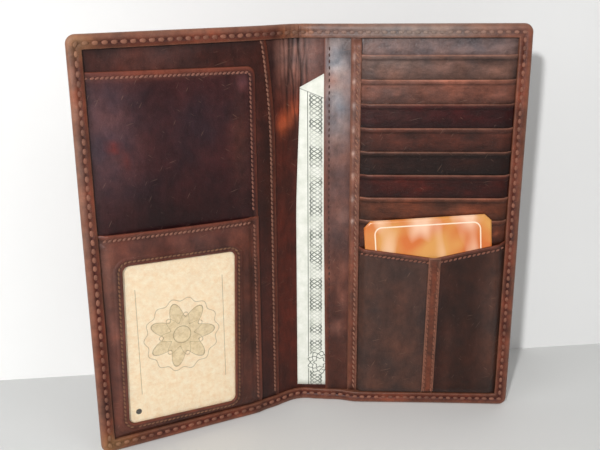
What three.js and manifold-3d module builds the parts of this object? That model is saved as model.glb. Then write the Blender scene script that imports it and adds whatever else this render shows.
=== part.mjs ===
// A tall leather wallet, standing open like a book, with its display contents in their pockets.
// Millimetres, +Z up. The left cover lies along X with its inside towards -Y. The spine turns towards
// the viewer about the left fold, and the right cover turns further about the right fold.
import * as THREE from 'three';
import { mergeVertices } from 'three/addons/utils/BufferGeometryUtils.js';
import Module from 'manifold-3d';

// Overall sizes
const HEIGHT = 190;
const COVER_WIDTH = 97.75;
const SPINE_WIDTH = 14;
const LEFT_BEND_DEG = 17.4;
const RIGHT_BEND_DEG = 11.9;
const CORNER_RADIUS = 4;
const BOW_DEPTH = 2.5;
const BOW_RUN = 26;
const BOW_STEPS = 7;
const SPINE_BULGE = 1.8;
const SPINE_STEPS = 7;

// Leather and layer thicknesses
const OUTER_LEATHER = 1.2;
const HEM_LEATHER = 1.0;
const LINING = 0.5;
const PANEL_LEATHER = 0.7;
const CARD_PANEL_LEATHER = 0.6;
const STRIP_LEATHER = 0.5;
const STRIP_LIP = 0.9;
const STRIP_TAIL = 0.25;
const BINDING_LEATHER = 0.6;
const SEAM_STRIP_LEATHER = 0.6;
const PANE_FILM = 0.2;
const WELT_RISE = 0.3;

// Contents
const NOTE_PAPER = 0.15;
const NOTE_WIDTH = 66;
const NOTE_LENGTH = 161;
const NOTE_BASE_Z = 8.5;
const NOTE_SHOWS = 12.7;
const NOTE_EAR = 8;
const INSERT_BOARD = 0.25;
const INSERT_LAP = 4.1;
const INSERT_LENGTH = 86;
const INSERT_HOLE = 2.8;
const INSERT_HOLE_IN = 8;
const SAMPLE_BOARD = 0.3;
const SAMPLE_PLAY = 9.8;
const SAMPLE_SHIFT = 3;
const SAMPLE_LENGTH = 60;
const SAMPLE_TOP_Z = 100.5;
const SAMPLE_TILT_DEG = 4.2;
const SAMPLE_CUT = 3.2;

// Seams, clearances and reliefs
const HEM_WIDTH = 6.2;
const SQUEEZE = 0.4;
const SQUEEZE_RAMP = 3;
const TUCK = 0.3;
const TUCK_RAMP = 2.5;
const LAYER_GAP = 0.15;
const STRIP_GAP = 0.1;
const FOLD_GAP = 0.15;
const HEM_RELIEF = 1.4;
const BUTT_GAP = 0.3;
const STEP_RUN = 1.5;

// Left cover layout, measured from the left fold and from the bottom edge
const POCKET_EDGE = 5.9;
const POCKET_EDGE_DROP = 5;
const POCKET_CURVE_DROP = 60;
const SLIP_EDGE = 16.3;
const SLIP_TOP_DROP = 16.2;
const SLIP_CORNER = 4;
const FRAME_TOP_Z = 104.5;
const FRAME_CORNER = 1;
const PANEL_SLANT = 0.026;
const WINDOW_NEAR = 30.3;
const WINDOW_MARGIN = 14.4;
const WINDOW_BASE_Z = 12;
const WINDOW_HEIGHT = 77.6;
const WINDOW_CORNER = 3;
const WELT_WIDTH = 4;
const PANE_LAP = 5;

// Right cover layout, measured from the right fold and from the bottom edge
const NOTE_POCKET_EDGE = 4.4;
const CARD_PANEL_EDGE = 16.6;
const BINDING_WIDTH = 4.8;
const SLOT_COUNT = 8;
const SLOT_PITCH = 11.1;
const SLOT_TOP_DROP = 13.4;
const STRIP_PITCHES = 2;
const POCKET_PITCHES = 4;
const LIP_HEIGHT = 2.2;
const FRONT_LEFT_Z = 85.6;
const FRONT_DIP_Z = 80.2;
const FRONT_RIGHT_Z = 89.8;
const FRONT_DIP_SHIFT = 1.5;
const SEAM_STRIP_WIDTH = 5.8;
const SEAM_STRIP_LEAN = 1.2;

// Depths from the outer face, and lifts above the lining
const LINING_BACK = OUTER_LEATHER + LAYER_GAP;
const LINING_TOP = LINING_BACK + LINING;
const NOTE_LIFT = LAYER_GAP;
const NOTE_POCKET_LIFT = NOTE_LIFT + NOTE_PAPER + LAYER_GAP;
const NOTE_POCKET_TOP = NOTE_POCKET_LIFT + PANEL_LEATHER;
const CARD_PANEL_LIFT = NOTE_POCKET_TOP + LAYER_GAP;
const CARD_PANEL_TOP = CARD_PANEL_LIFT + CARD_PANEL_LEATHER;
const STRIP_HEIGHT = STRIP_PITCHES * SLOT_PITCH;
const POCKET_DEPTH = POCKET_PITCHES * SLOT_PITCH;
const STRIP_LIFT = CARD_PANEL_TOP + STRIP_GAP;
const STRIP_SLOPE = (STRIP_LEATHER + STRIP_GAP) / SLOT_PITCH;
const STRIP_TOP = STRIP_LIFT + STRIP_SLOPE * POCKET_DEPTH + STRIP_LIP;
const SAMPLE_LIFT = STRIP_TOP + LAYER_GAP;
const FRONT_LIFT = SAMPLE_LIFT + SAMPLE_BOARD + LAYER_GAP;
const FRONT_TOP = FRONT_LIFT + PANEL_LEATHER;
const SEAM_STRIP_TOP = FRONT_TOP + LAYER_GAP + SEAM_STRIP_LEATHER;
const BINDING_LIFT = CARD_PANEL_TOP + TUCK * (FRONT_TOP - CARD_PANEL_TOP) + LAYER_GAP;
const BINDING_TOP = BINDING_LIFT + BINDING_LEATHER;
const POCKET_LIFT = LAYER_GAP;
const POCKET_TOP = POCKET_LIFT + PANEL_LEATHER;
const SLIP_LIFT = POCKET_TOP + LAYER_GAP;
const SLIP_TOP = SLIP_LIFT + PANEL_LEATHER;
const INSERT_LIFT = SLIP_TOP + LAYER_GAP;
const PANE_LIFT = INSERT_LIFT + INSERT_BOARD + LAYER_GAP;
const FRAME_LIFT = PANE_LIFT + PANE_FILM + LAYER_GAP;
const FRAME_TOP = FRAME_LIFT + PANEL_LEATHER;

// Shared seam lines and places that follow from the sizes above
const SEAM_INSET = OUTER_LEATHER + BUTT_GAP;
const SEAM_EDGE = COVER_WIDTH - SEAM_INSET;
const SEAM_LOW = SEAM_INSET;
const SEAM_HIGH = HEIGHT - SEAM_INSET;
const SQUEEZE_LINE = HEM_WIDTH + LAYER_GAP;
const MOUTH = COVER_WIDTH - HEM_WIDTH;
const SLIP_TOP_Z = HEIGHT - SLIP_TOP_DROP;
const SLOT_TOP_Z = HEIGHT - SLOT_TOP_DROP;
const POCKET_CURVE_Z = HEIGHT - POCKET_CURVE_DROP;
const WINDOW_WIDTH = COVER_WIDTH - WINDOW_NEAR - WINDOW_MARGIN;
const INSERT_WIDTH = WINDOW_WIDTH + 2 * INSERT_LAP;
const INSERT_BASE_Z = SQUEEZE_LINE + SQUEEZE_RAMP + BUTT_GAP;
const BINDING_EDGE = CARD_PANEL_EDGE + BINDING_WIDTH;
const PANEL_MIDDLE = (SLIP_EDGE + MOUTH) / 2;
const FRONT_MIDDLE = (BINDING_EDGE + MOUTH) / 2;
const FRONT_DIP_AT = FRONT_MIDDLE + FRONT_DIP_SHIFT;
const SAMPLE_WIDTH = MOUTH - BINDING_EDGE - SAMPLE_PLAY;
const SAMPLE_TOP_AT = FRONT_MIDDLE - SAMPLE_SHIFT;
const PAST = 1;
const BEHIND_ALL = -20;
const FRONT_OF_ALL = 20;

// Leather and paper colours
const COLOURS = {
  outer: 0x6b3a22,
  lining: 0x4a2219,
  panel: 0x43241d,
  strip: 0x54291d,
  trim: 0x6e3422,
  insert: 0xe3c69a,
  sample: 0xe28a4c,
  note: 0xdcdcc8,
  pane: 0xdfe6e4,
};

const wasm = await Module();
wasm.setup();

// Closed solids and their booleans

function toSolid(geometry) {
  const plain = geometry.clone();
  plain.deleteAttribute('normal');
  plain.deleteAttribute('uv');
  const merged = mergeVertices(plain, 1e-4);
  const vertProperties = new Float32Array(merged.attributes.position.array);
  const triVerts = new Uint32Array(merged.index.array);
  return new wasm.Manifold(new wasm.Mesh({ numProp: 3, vertProperties, triVerts }));
}

function toGeometry(solid) {
  const mesh = solid.getMesh();
  const geometry = new THREE.BufferGeometry();
  geometry.setAttribute('position', new THREE.BufferAttribute(new Float32Array(mesh.vertProperties), 3));
  geometry.setIndex(new THREE.BufferAttribute(new Uint32Array(mesh.triVerts), 1));
  return geometry;
}

// A sheet over a grid of x and z stations, between two depths that vary over the grid
function sheet(xs, zs, under, over) {
  const columns = xs.length;
  const rows = zs.length;
  const layer = columns * rows;
  const points = [];
  for (const depth of [under, over]) {
    for (const z of zs) {
      for (const x of xs) {
        points.push(x, -depth(x, z), z);
      }
    }
  }
  const at = (side, row, column) => side * layer + row * columns + column;
  const faces = [];
  const quad = (a, b, c, d) => faces.push(a, b, c, a, c, d);
  for (let row = 0; row < rows - 1; row += 1) {
    for (let column = 0; column < columns - 1; column += 1) {
      quad(at(1, row, column), at(1, row, column + 1), at(1, row + 1, column + 1), at(1, row + 1, column));
      quad(at(0, row, column), at(0, row + 1, column), at(0, row + 1, column + 1), at(0, row, column + 1));
    }
  }
  const last = columns - 1;
  const top = rows - 1;
  for (let row = 0; row < top; row += 1) {
    quad(at(0, row, 0), at(1, row, 0), at(1, row + 1, 0), at(0, row + 1, 0));
    quad(at(1, row, last), at(0, row, last), at(0, row + 1, last), at(1, row + 1, last));
  }
  for (let column = 0; column < last; column += 1) {
    quad(at(0, 0, column), at(0, 0, column + 1), at(1, 0, column + 1), at(1, 0, column));
    quad(at(1, top, column), at(1, top, column + 1), at(0, top, column + 1), at(0, top, column));
  }
  const geometry = new THREE.BufferGeometry();
  geometry.setAttribute('position', new THREE.Float32BufferAttribute(points, 3));
  geometry.setIndex(faces);
  return toSolid(geometry);
}

// A straight-sided prism of an outline in x and z, from one depth to another
function prism(outline, near, far) {
  const geometry = new THREE.ExtrudeGeometry(outline, {
    depth: far - near,
    bevelEnabled: false,
    curveSegments: 6,
  });
  geometry.translate(0, 0, near);
  geometry.rotateX(Math.PI / 2);
  return toSolid(geometry);
}

// A rectangle with its own radius at each corner, in the order: low left, low right, high right, high left
function rectangle(x0, z0, x1, z1, radii = [0, 0, 0, 0]) {
  const [lowLeft, lowRight, highRight, highLeft] = radii;
  const shape = new THREE.Shape();
  shape.moveTo(x0 + lowLeft, z0);
  shape.lineTo(x1 - lowRight, z0);
  corner(shape, x1 - lowRight, z0 + lowRight, lowRight, -Math.PI / 2);
  shape.lineTo(x1, z1 - highRight);
  corner(shape, x1 - highRight, z1 - highRight, highRight, 0);
  shape.lineTo(x0 + highLeft, z1);
  corner(shape, x0 + highLeft, z1 - highLeft, highLeft, Math.PI / 2);
  shape.lineTo(x0, z0 + lowLeft);
  corner(shape, x0 + lowLeft, z0 + lowLeft, lowLeft, Math.PI);
  return shape;
}

function corner(shape, x, z, radius, from) {
  if (radius > 0) {
    shape.absarc(x, z, radius, from, from + Math.PI / 2, false);
  }
}

// The outline of a cover, drawn in by an inset, with its two outer corners round.
// side is 1 for the right cover and -1 for the left one. The fold edge stays at "fold".
function coverOutline(side, inset, fold) {
  const radius = CORNER_RADIUS - inset;
  const edge = COVER_WIDTH - inset;
  if (side > 0) {
    return rectangle(fold, inset, edge, HEIGHT - inset, [0, radius, radius, 0]);
  }
  return rectangle(-edge, inset, -fold, HEIGHT - inset, [radius, 0, 0, radius]);
}

// The leather's own curves: the left cover bows back towards its fold, and the spine is round

function flat() {
  return 0;
}

function bow(x) {
  const share = Math.max(0, 1 - Math.abs(x) / BOW_RUN);
  return -BOW_DEPTH * share * share;
}

function bulge(x) {
  const share = x / SPINE_WIDTH;
  return -4 * SPINE_BULGE * share * (1 - share);
}

function evenly(low, high, steps) {
  return Array.from({ length: steps + 1 }, (_, step) => low + ((high - low) * step) / steps);
}

const BOW_BENDS = evenly(0, BOW_RUN, BOW_STEPS);
const SPINE_BENDS = evenly(FOLD_GAP, SPINE_WIDTH - FOLD_GAP, SPINE_STEPS);

// Layer depths: sewn margins are skived and squeezed under the hem

function ramp(distance, run, low) {
  return THREE.MathUtils.mapLinear(THREE.MathUtils.clamp(distance, 0, run), 0, run, low, 1);
}

function squeeze(x, z) {
  const fromSide = COVER_WIDTH - SQUEEZE_LINE - Math.abs(x);
  const fromBottom = z - SQUEEZE_LINE;
  const fromTop = HEIGHT - SQUEEZE_LINE - z;
  return ramp(Math.min(fromSide, fromBottom, fromTop), SQUEEZE_RAMP, SQUEEZE);
}

// Layers above a seat are also drawn down to it at the edge that is sewn on the cover's inner side
function layerDepth(curve, seat, tuckLine) {
  return (lift) => (x, z) => {
    const tuck = ramp(Math.abs(x) - tuckLine, TUCK_RAMP, TUCK);
    const raised = lift > seat ? seat + tuck * (lift - seat) : lift;
    return curve(x) + LINING_TOP + squeeze(x, z) * raised;
  };
}

const leftDepth = layerDepth(bow, SLIP_TOP, SLIP_EDGE + WELT_WIDTH);
const rightDepth = layerDepth(flat, CARD_PANEL_TOP, BINDING_EDGE + LAYER_GAP);

// Stations where a sewn panel bends: its ends, the hem's edge and the end of the squeezed margin
function stations(low, high, bends) {
  const inside = bends.filter((value) => value > low + BUTT_GAP && value < high - BUTT_GAP);
  return [low, ...inside.sort((a, b) => a - b), high];
}

const Z_BENDS = [
  SQUEEZE_LINE,
  SQUEEZE_LINE + SQUEEZE_RAMP,
  HEIGHT - SQUEEZE_LINE - SQUEEZE_RAMP,
  HEIGHT - SQUEEZE_LINE,
];
const SIDE_BENDS = [COVER_WIDTH - SQUEEZE_LINE - SQUEEZE_RAMP, COVER_WIDTH - SQUEEZE_LINE];
const RIGHT_BENDS = [BINDING_EDGE + LAYER_GAP, BINDING_EDGE + LAYER_GAP + TUCK_RAMP, ...SIDE_BENDS];
const LEFT_BENDS = [SLIP_EDGE + WELT_WIDTH, SLIP_EDGE + WELT_WIDTH + TUCK_RAMP, ...BOW_BENDS, ...SIDE_BENDS]
  .map((value) => -value);

// A sewn panel between two edges, trimmed to the seam line of its cover
function panel(side, near, far, low, high, lift, thickness) {
  const depth = side > 0 ? rightDepth : leftDepth;
  const xs = side > 0 ? stations(near, far, RIGHT_BENDS) : stations(-far, -near, LEFT_BENDS);
  const zs = stations(low, high, Z_BENDS);
  const body = sheet(xs, zs, depth(lift), depth(lift + thickness));
  return body.intersect(prism(coverOutline(side, SEAM_INSET, FOLD_GAP), BEHIND_ALL, FRONT_OF_ALL));
}

// Outer cover: a leather sheet whose three free edges are turned over the stack and sewn down

function hemDepth(curve, stack) {
  return (x, z) => curve(x) + LINING_TOP + SQUEEZE * stack(Math.abs(x), z) + LAYER_GAP;
}

function leftStack(u, z) {
  if (u < POCKET_EDGE - STEP_RUN) {
    return 0;
  }
  if (u < SLIP_EDGE - STEP_RUN || z > SLIP_TOP_Z + STEP_RUN) {
    return POCKET_TOP;
  }
  return z > FRAME_TOP_Z + STEP_RUN ? SLIP_TOP : FRAME_TOP;
}

function rightStack(u, z) {
  if (u < NOTE_POCKET_EDGE - STEP_RUN) {
    return 0;
  }
  if (u < CARD_PANEL_EDGE - STEP_RUN) {
    return NOTE_POCKET_TOP;
  }
  if (z > SLOT_TOP_Z + STEP_RUN) {
    return BINDING_TOP;
  }
  return z > FRONT_RIGHT_Z + STEP_RUN ? STRIP_TOP : SEAM_STRIP_TOP;
}

// A pair of stations on each side of a step, so that the hem climbs over it
function climb(edges) {
  return edges.flatMap((edge) => [edge - 2 * STEP_RUN, edge - STEP_RUN]);
}

function climbDown(edges) {
  return edges.flatMap((edge) => [edge + STEP_RUN, edge + 2 * STEP_RUN]);
}

function outerCover(side, curve, stack, xSteps, zSteps) {
  const bends = side > 0 ? climb(xSteps) : [...climb(xSteps), ...BOW_BENDS];
  const across = stations(FOLD_GAP, COVER_WIDTH, bends);
  const xs = side > 0 ? across : across.map((value) => -value).reverse();
  const zs = stations(0, HEIGHT, climbDown(zSteps));
  const under = hemDepth(curve, stack);
  const inside = (x) => curve(x) + OUTER_LEATHER;
  const front = (x, z) => under(x, z) + HEM_LEATHER;
  const block = sheet(xs, zs, curve, front);
  const leather = block.intersect(prism(coverOutline(side, 0, FOLD_GAP), BEHIND_ALL, FRONT_OF_ALL));
  const wider = side > 0 ? [-PAST, ...xs] : [...xs, PAST];
  const channel = sheet(wider, zs, inside, under)
    .intersect(prism(coverOutline(side, OUTER_LEATHER, -PAST), BEHIND_ALL, FRONT_OF_ALL));
  const mouthFold = side > 0 ? -PAST : -MOUTH;
  const mouthEdge = side > 0 ? MOUTH : PAST;
  const mouth = prism(rectangle(mouthFold, HEM_WIDTH, mouthEdge, HEIGHT - HEM_WIDTH), BEHIND_ALL, FRONT_OF_ALL);
  const relief = prism(rectangle(-HEM_RELIEF, -PAST, HEM_RELIEF, HEIGHT + PAST), BEHIND_ALL, FRONT_OF_ALL);
  const aboveInside = sheet(wider, [-PAST, HEIGHT + PAST], inside, () => FRONT_OF_ALL);
  return leather.subtract(channel).subtract(mouth.add(relief).intersect(aboveInside));
}

function leftLining() {
  const back = (x) => bow(x) + LINING_BACK;
  const front = (x) => bow(x) + LINING_TOP;
  const xs = stations(-SEAM_EDGE, -FOLD_GAP, LEFT_BENDS);
  return sheet(xs, [SEAM_LOW, SEAM_HIGH], back, front)
    .intersect(prism(coverOutline(-1, SEAM_INSET, FOLD_GAP), BEHIND_ALL, FRONT_OF_ALL));
}

function rightLining() {
  return prism(coverOutline(1, SEAM_INSET, FOLD_GAP), LINING_BACK, LINING_TOP);
}

// Left cover pieces

// The long pocket's mouth runs straight up the spine side, then curves away near the top
function leftPocketPanel() {
  const body = panel(-1, POCKET_EDGE, SEAM_EDGE, SEAM_LOW, SEAM_HIGH, POCKET_LIFT, PANEL_LEATHER);
  const cut = new THREE.Shape();
  cut.moveTo(-POCKET_EDGE, POCKET_CURVE_Z);
  cut.quadraticCurveTo(
    -POCKET_EDGE,
    (POCKET_CURVE_Z + HEIGHT) / 2,
    -POCKET_EDGE - POCKET_EDGE_DROP,
    HEIGHT,
  );
  cut.lineTo(PAST, HEIGHT);
  cut.lineTo(PAST, POCKET_CURVE_Z);
  return body.subtract(prism(cut, BEHIND_ALL, FRONT_OF_ALL));
}

// The slip pocket and the window frame are sewn in a little askew
function slanted(u, top) {
  return top + PANEL_SLANT * (u - PANEL_MIDDLE);
}

function slantedPanel(top, cornerRadius, lift, thickness) {
  const body = panel(-1, SLIP_EDGE, SEAM_EDGE, SEAM_LOW, slanted(COVER_WIDTH, top), lift, thickness);
  const outline = new THREE.Shape();
  outline.moveTo(-COVER_WIDTH, 0);
  outline.lineTo(-SLIP_EDGE, 0);
  outline.lineTo(-SLIP_EDGE, slanted(SLIP_EDGE, top) - cornerRadius);
  outline.quadraticCurveTo(
    -SLIP_EDGE,
    slanted(SLIP_EDGE, top),
    -SLIP_EDGE - cornerRadius,
    slanted(SLIP_EDGE + cornerRadius, top),
  );
  outline.lineTo(-COVER_WIDTH, slanted(COVER_WIDTH, top));
  return body.intersect(prism(outline, BEHIND_ALL, FRONT_OF_ALL));
}

function slipPocketPanel() {
  return slantedPanel(SLIP_TOP_Z, SLIP_CORNER, SLIP_LIFT, PANEL_LEATHER);
}

// A block with the outline of the window, larger by "grow" on every side
function windowBlock(grow) {
  const across = WINDOW_WIDTH / 2 + grow;
  const up = WINDOW_HEIGHT / 2 + grow;
  const radius = WINDOW_CORNER + grow;
  const outline = rectangle(-across, -up, across, up, [radius, radius, radius, radius]);
  const geometry = new THREE.ExtrudeGeometry(outline, {
    depth: FRONT_OF_ALL - BEHIND_ALL,
    bevelEnabled: false,
    curveSegments: 6,
  });
  geometry.rotateZ(-Math.atan(PANEL_SLANT));
  geometry.translate(-WINDOW_NEAR - WINDOW_WIDTH / 2, WINDOW_BASE_Z + WINDOW_HEIGHT / 2, BEHIND_ALL);
  geometry.rotateX(Math.PI / 2);
  return toSolid(geometry);
}

// A leather frame with a stitched welt round its window
function windowFrame() {
  const body = slantedPanel(FRAME_TOP_Z, FRAME_CORNER, FRAME_LIFT, PANEL_LEATHER);
  const raised = slantedPanel(FRAME_TOP_Z, FRAME_CORNER, FRAME_LIFT, PANEL_LEATHER + WELT_RISE);
  const welt = raised.intersect(windowBlock(WELT_WIDTH));
  return body.add(welt).subtract(windowBlock(0));
}

function windowPane() {
  return slantedPanel(FRAME_TOP_Z, FRAME_CORNER, PANE_LIFT, PANE_FILM).intersect(windowBlock(PANE_LAP));
}

// A card behind the window, with a small punched hole near one corner
function insertCard() {
  const near = -WINDOW_NEAR - WINDOW_WIDTH / 2 + INSERT_WIDTH / 2;
  const far = near - INSERT_WIDTH;
  const outline = rectangle(far, INSERT_BASE_Z, near, INSERT_BASE_Z + INSERT_LENGTH);
  const hole = new THREE.Path();
  hole.absarc(far + INSERT_HOLE_IN, INSERT_BASE_Z + INSERT_HOLE_IN, INSERT_HOLE / 2, 0, 2 * Math.PI, true);
  outline.holes.push(hole);
  return prism(outline, LINING_TOP + INSERT_LIFT, LINING_TOP + INSERT_LIFT + INSERT_BOARD);
}

// Spine pieces

function spineSheet(zs, lift, top) {
  return sheet(SPINE_BENDS, zs, (x) => bulge(x) + lift, (x) => bulge(x) + top);
}

function spineOuter() {
  const hemUnder = LINING_TOP + LAYER_GAP;
  const block = spineSheet([0, HEIGHT], 0, hemUnder + HEM_LEATHER);
  const channel = spineSheet([OUTER_LEATHER, HEIGHT - OUTER_LEATHER], OUTER_LEATHER, hemUnder);
  const mouth = spineSheet([HEM_WIDTH, HEIGHT - HEM_WIDTH], OUTER_LEATHER, FRONT_OF_ALL);
  const nearRelief = rectangle(-PAST, -PAST, HEM_RELIEF, HEIGHT + PAST);
  const farRelief = rectangle(SPINE_WIDTH - HEM_RELIEF, -PAST, SPINE_WIDTH + PAST, HEIGHT + PAST);
  const reliefs = prism(nearRelief, BEHIND_ALL, FRONT_OF_ALL).add(prism(farRelief, BEHIND_ALL, FRONT_OF_ALL));
  const aboveInside = spineSheet([-PAST, HEIGHT + PAST], OUTER_LEATHER, FRONT_OF_ALL);
  return block.subtract(channel).subtract(mouth).subtract(reliefs.intersect(aboveInside));
}

function spineLining() {
  return spineSheet([SEAM_LOW, SEAM_HIGH], LINING_BACK, LINING_TOP);
}

// Right cover pieces

function notePocketPanel() {
  return panel(1, NOTE_POCKET_EDGE, SEAM_EDGE, SEAM_LOW, SEAM_HIGH, NOTE_POCKET_LIFT, PANEL_LEATHER);
}

const CARD_PANEL_NEAR = CARD_PANEL_EDGE + BINDING_LEATHER + LAYER_GAP;

function cardPanel() {
  return panel(1, CARD_PANEL_NEAR, SEAM_EDGE, SEAM_LOW, SEAM_HIGH, CARD_PANEL_LIFT, CARD_PANEL_LEATHER);
}

// Where a layer lies under the binding, before any tuck
function untuckedDepth(lift) {
  return (x, z) => LINING_TOP + squeeze(x, z) * lift;
}

// A strip folded round the inner edge of the card panel and over the ends of the slots
function cardPanelBinding() {
  const zs = stations(SEAM_LOW, SEAM_HIGH, Z_BENDS);
  const block = sheet(
    [CARD_PANEL_EDGE, BINDING_EDGE],
    zs,
    untuckedDepth(CARD_PANEL_LIFT),
    untuckedDepth(BINDING_TOP),
  );
  const inside = sheet(
    [CARD_PANEL_EDGE + BINDING_LEATHER, BINDING_EDGE + PAST],
    stations(0, HEIGHT, Z_BENDS),
    untuckedDepth(CARD_PANEL_LIFT - LAYER_GAP / 2),
    untuckedDepth(BINDING_LIFT),
  );
  return block.subtract(inside);
}

// All slots bend at the same heights, so that their faces stay parallel where they overlap
function slotStations(top) {
  const heights = [];
  for (let step = POCKET_PITCHES; step >= 0; step -= 1) {
    const edge = top - step * SLOT_PITCH;
    heights.push(edge - LIP_HEIGHT, edge - LIP_HEIGHT + STRIP_GAP, edge - STRIP_GAP, edge);
  }
  return heights.filter((z) => z >= top - POCKET_DEPTH);
}

// A card slot: a leather strip with a turned top edge, and a thin tail that closes the pocket below it.
// Each leans over the one above it, like a shingle.
function cardSlot(index) {
  const top = SLOT_TOP_Z - index * SLOT_PITCH;
  const bottom = top - POCKET_DEPTH;
  const leatherEnd = top - STRIP_HEIGHT;
  const lipEnd = top - LIP_HEIGHT;
  const back = (z) => STRIP_LIFT + STRIP_SLOPE * (z - bottom);
  const thickness = (z) => {
    if (z < leatherEnd) {
      return STRIP_TAIL;
    }
    return z > lipEnd ? STRIP_LIP : STRIP_LEATHER;
  };
  const xs = stations(CARD_PANEL_NEAR + LAYER_GAP, SEAM_EDGE, RIGHT_BENDS);
  const zs = slotStations(top);
  const under = (x, z) => rightDepth(back(z))(x, z);
  const over = (x, z) => rightDepth(back(z) + thickness(z))(x, z);
  return sheet(xs, zs, under, over);
}

// The front pocket's two halves meet at a middle seam, with a mouth that dips to it
function frontPocketHalf(near, far, nearTop, farTop) {
  const body = panel(1, near, far, SEAM_LOW, FRONT_RIGHT_Z, FRONT_LIFT, PANEL_LEATHER);
  const outline = new THREE.Shape();
  outline.moveTo(near, 0);
  outline.lineTo(far, 0);
  outline.lineTo(far, farTop);
  outline.lineTo(near, nearTop);
  return body.intersect(prism(outline, BEHIND_ALL, FRONT_OF_ALL));
}

function frontPocketLeft() {
  const near = CARD_PANEL_NEAR + LAYER_GAP;
  return frontPocketHalf(near, FRONT_DIP_AT - BUTT_GAP / 2, FRONT_LEFT_Z, FRONT_DIP_Z);
}

function frontPocketRight() {
  return frontPocketHalf(FRONT_DIP_AT + BUTT_GAP / 2, SEAM_EDGE, FRONT_DIP_Z, FRONT_RIGHT_Z);
}

// The strip over the middle seam leans a little towards the spine at its foot
function frontPocketSeamStrip() {
  const near = FRONT_DIP_AT - SEAM_STRIP_WIDTH / 2;
  const far = FRONT_DIP_AT + SEAM_STRIP_WIDTH / 2;
  const outline = new THREE.Shape();
  outline.moveTo(near - SEAM_STRIP_LEAN, 0);
  outline.lineTo(far - SEAM_STRIP_LEAN, 0);
  outline.lineTo(far, FRONT_DIP_Z);
  outline.lineTo(near, FRONT_DIP_Z);
  const lift = FRONT_TOP + LAYER_GAP;
  return panel(1, near - SEAM_STRIP_LEAN, far, SEAM_LOW, FRONT_DIP_Z, lift, SEAM_STRIP_LEATHER)
    .intersect(prism(outline, BEHIND_ALL, FRONT_OF_ALL));
}

// A card that stands in the front pocket, leaning a little, with its top corners cut off
function sampleCard() {
  const half = SAMPLE_WIDTH / 2;
  const shape = new THREE.Shape();
  shape.moveTo(-half, -SAMPLE_LENGTH);
  shape.lineTo(half, -SAMPLE_LENGTH);
  shape.lineTo(half, -SAMPLE_CUT);
  shape.lineTo(half - SAMPLE_CUT, 0);
  shape.lineTo(SAMPLE_CUT - half, 0);
  shape.lineTo(-half, -SAMPLE_CUT);
  const depth = LINING_TOP + SAMPLE_LIFT;
  const geometry = new THREE.ExtrudeGeometry(shape, { depth: SAMPLE_BOARD, bevelEnabled: false });
  geometry.rotateZ(THREE.MathUtils.degToRad(SAMPLE_TILT_DEG));
  geometry.translate(SAMPLE_TOP_AT, SAMPLE_TOP_Z, depth);
  geometry.rotateX(Math.PI / 2);
  return toSolid(geometry);
}

// A paper note that stands out of the long pocket towards the spine, with one corner turned down
function note() {
  const near = NOTE_POCKET_EDGE - NOTE_SHOWS;
  const top = NOTE_BASE_Z + NOTE_LENGTH;
  const outline = new THREE.Shape();
  outline.moveTo(near, NOTE_BASE_Z);
  outline.lineTo(near + NOTE_WIDTH, NOTE_BASE_Z);
  outline.lineTo(near + NOTE_WIDTH, top);
  outline.lineTo(near + 2 * NOTE_EAR, top);
  outline.lineTo(near, top - NOTE_EAR);
  return prism(outline, LINING_TOP + NOTE_LIFT, LINING_TOP + NOTE_LIFT + NOTE_PAPER);
}

// Assembly

function mesh(name, solid, colour, roughness, extra = {}) {
  const material = new THREE.MeshStandardMaterial({ color: colour, roughness, metalness: 0, ...extra });
  const piece = new THREE.Mesh(toGeometry(solid), material);
  piece.name = name;
  return piece;
}

const leftCover = new THREE.Group();
leftCover.add(
  mesh('left_outer_cover', outerCover(-1, bow, leftStack, [POCKET_EDGE, SLIP_EDGE], [FRAME_TOP_Z, SLIP_TOP_Z]),
    COLOURS.outer, 0.55),
  mesh('left_lining', leftLining(), COLOURS.lining, 0.6),
  mesh('left_pocket_panel', leftPocketPanel(), COLOURS.panel, 0.55),
  mesh('slip_pocket_panel', slipPocketPanel(), COLOURS.panel, 0.5),
  mesh('window_frame', windowFrame(), COLOURS.panel, 0.55),
  mesh('window_pane', windowPane(), COLOURS.pane, 0.1, { transparent: true, opacity: 0.25 }),
  mesh('insert_card', insertCard(), COLOURS.insert, 0.8),
);

const rightCover = new THREE.Group();
rightCover.position.y = LINING_TOP;
rightCover.add(
  mesh('right_outer_cover',
    outerCover(1, flat, rightStack, [NOTE_POCKET_EDGE, CARD_PANEL_EDGE], [FRONT_RIGHT_Z, SLOT_TOP_Z]),
    COLOURS.outer, 0.55),
  mesh('right_lining', rightLining(), COLOURS.lining, 0.6),
  mesh('note_pocket_panel', notePocketPanel(), COLOURS.panel, 0.5),
  mesh('card_panel', cardPanel(), COLOURS.panel, 0.55),
  mesh('card_panel_binding', cardPanelBinding(), COLOURS.trim, 0.55),
  mesh('front_pocket_left', frontPocketLeft(), COLOURS.panel, 0.6),
  mesh('front_pocket_right', frontPocketRight(), COLOURS.panel, 0.6),
  mesh('front_pocket_seam_strip', frontPocketSeamStrip(), COLOURS.trim, 0.55),
  mesh('sample_card', sampleCard(), COLOURS.sample, 0.35),
  mesh('paper_note', note(), COLOURS.note, 0.85),
);
for (let index = 0; index < SLOT_COUNT; index += 1) {
  rightCover.add(mesh(`card_slot_${index + 1}`, cardSlot(index), COLOURS.strip, 0.5));
}

// Each fold turns about an upright axis at the lining's inner face
const rightFold = new THREE.Group();
rightFold.position.set(SPINE_WIDTH, -LINING_TOP, 0);
rightFold.rotation.z = -THREE.MathUtils.degToRad(RIGHT_BEND_DEG);
rightFold.add(rightCover);

const spine = new THREE.Group();
spine.position.y = LINING_TOP;
spine.add(
  mesh('spine_outer', spineOuter(), COLOURS.outer, 0.55),
  mesh('spine_lining', spineLining(), COLOURS.lining, 0.6),
  rightFold,
);

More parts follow.
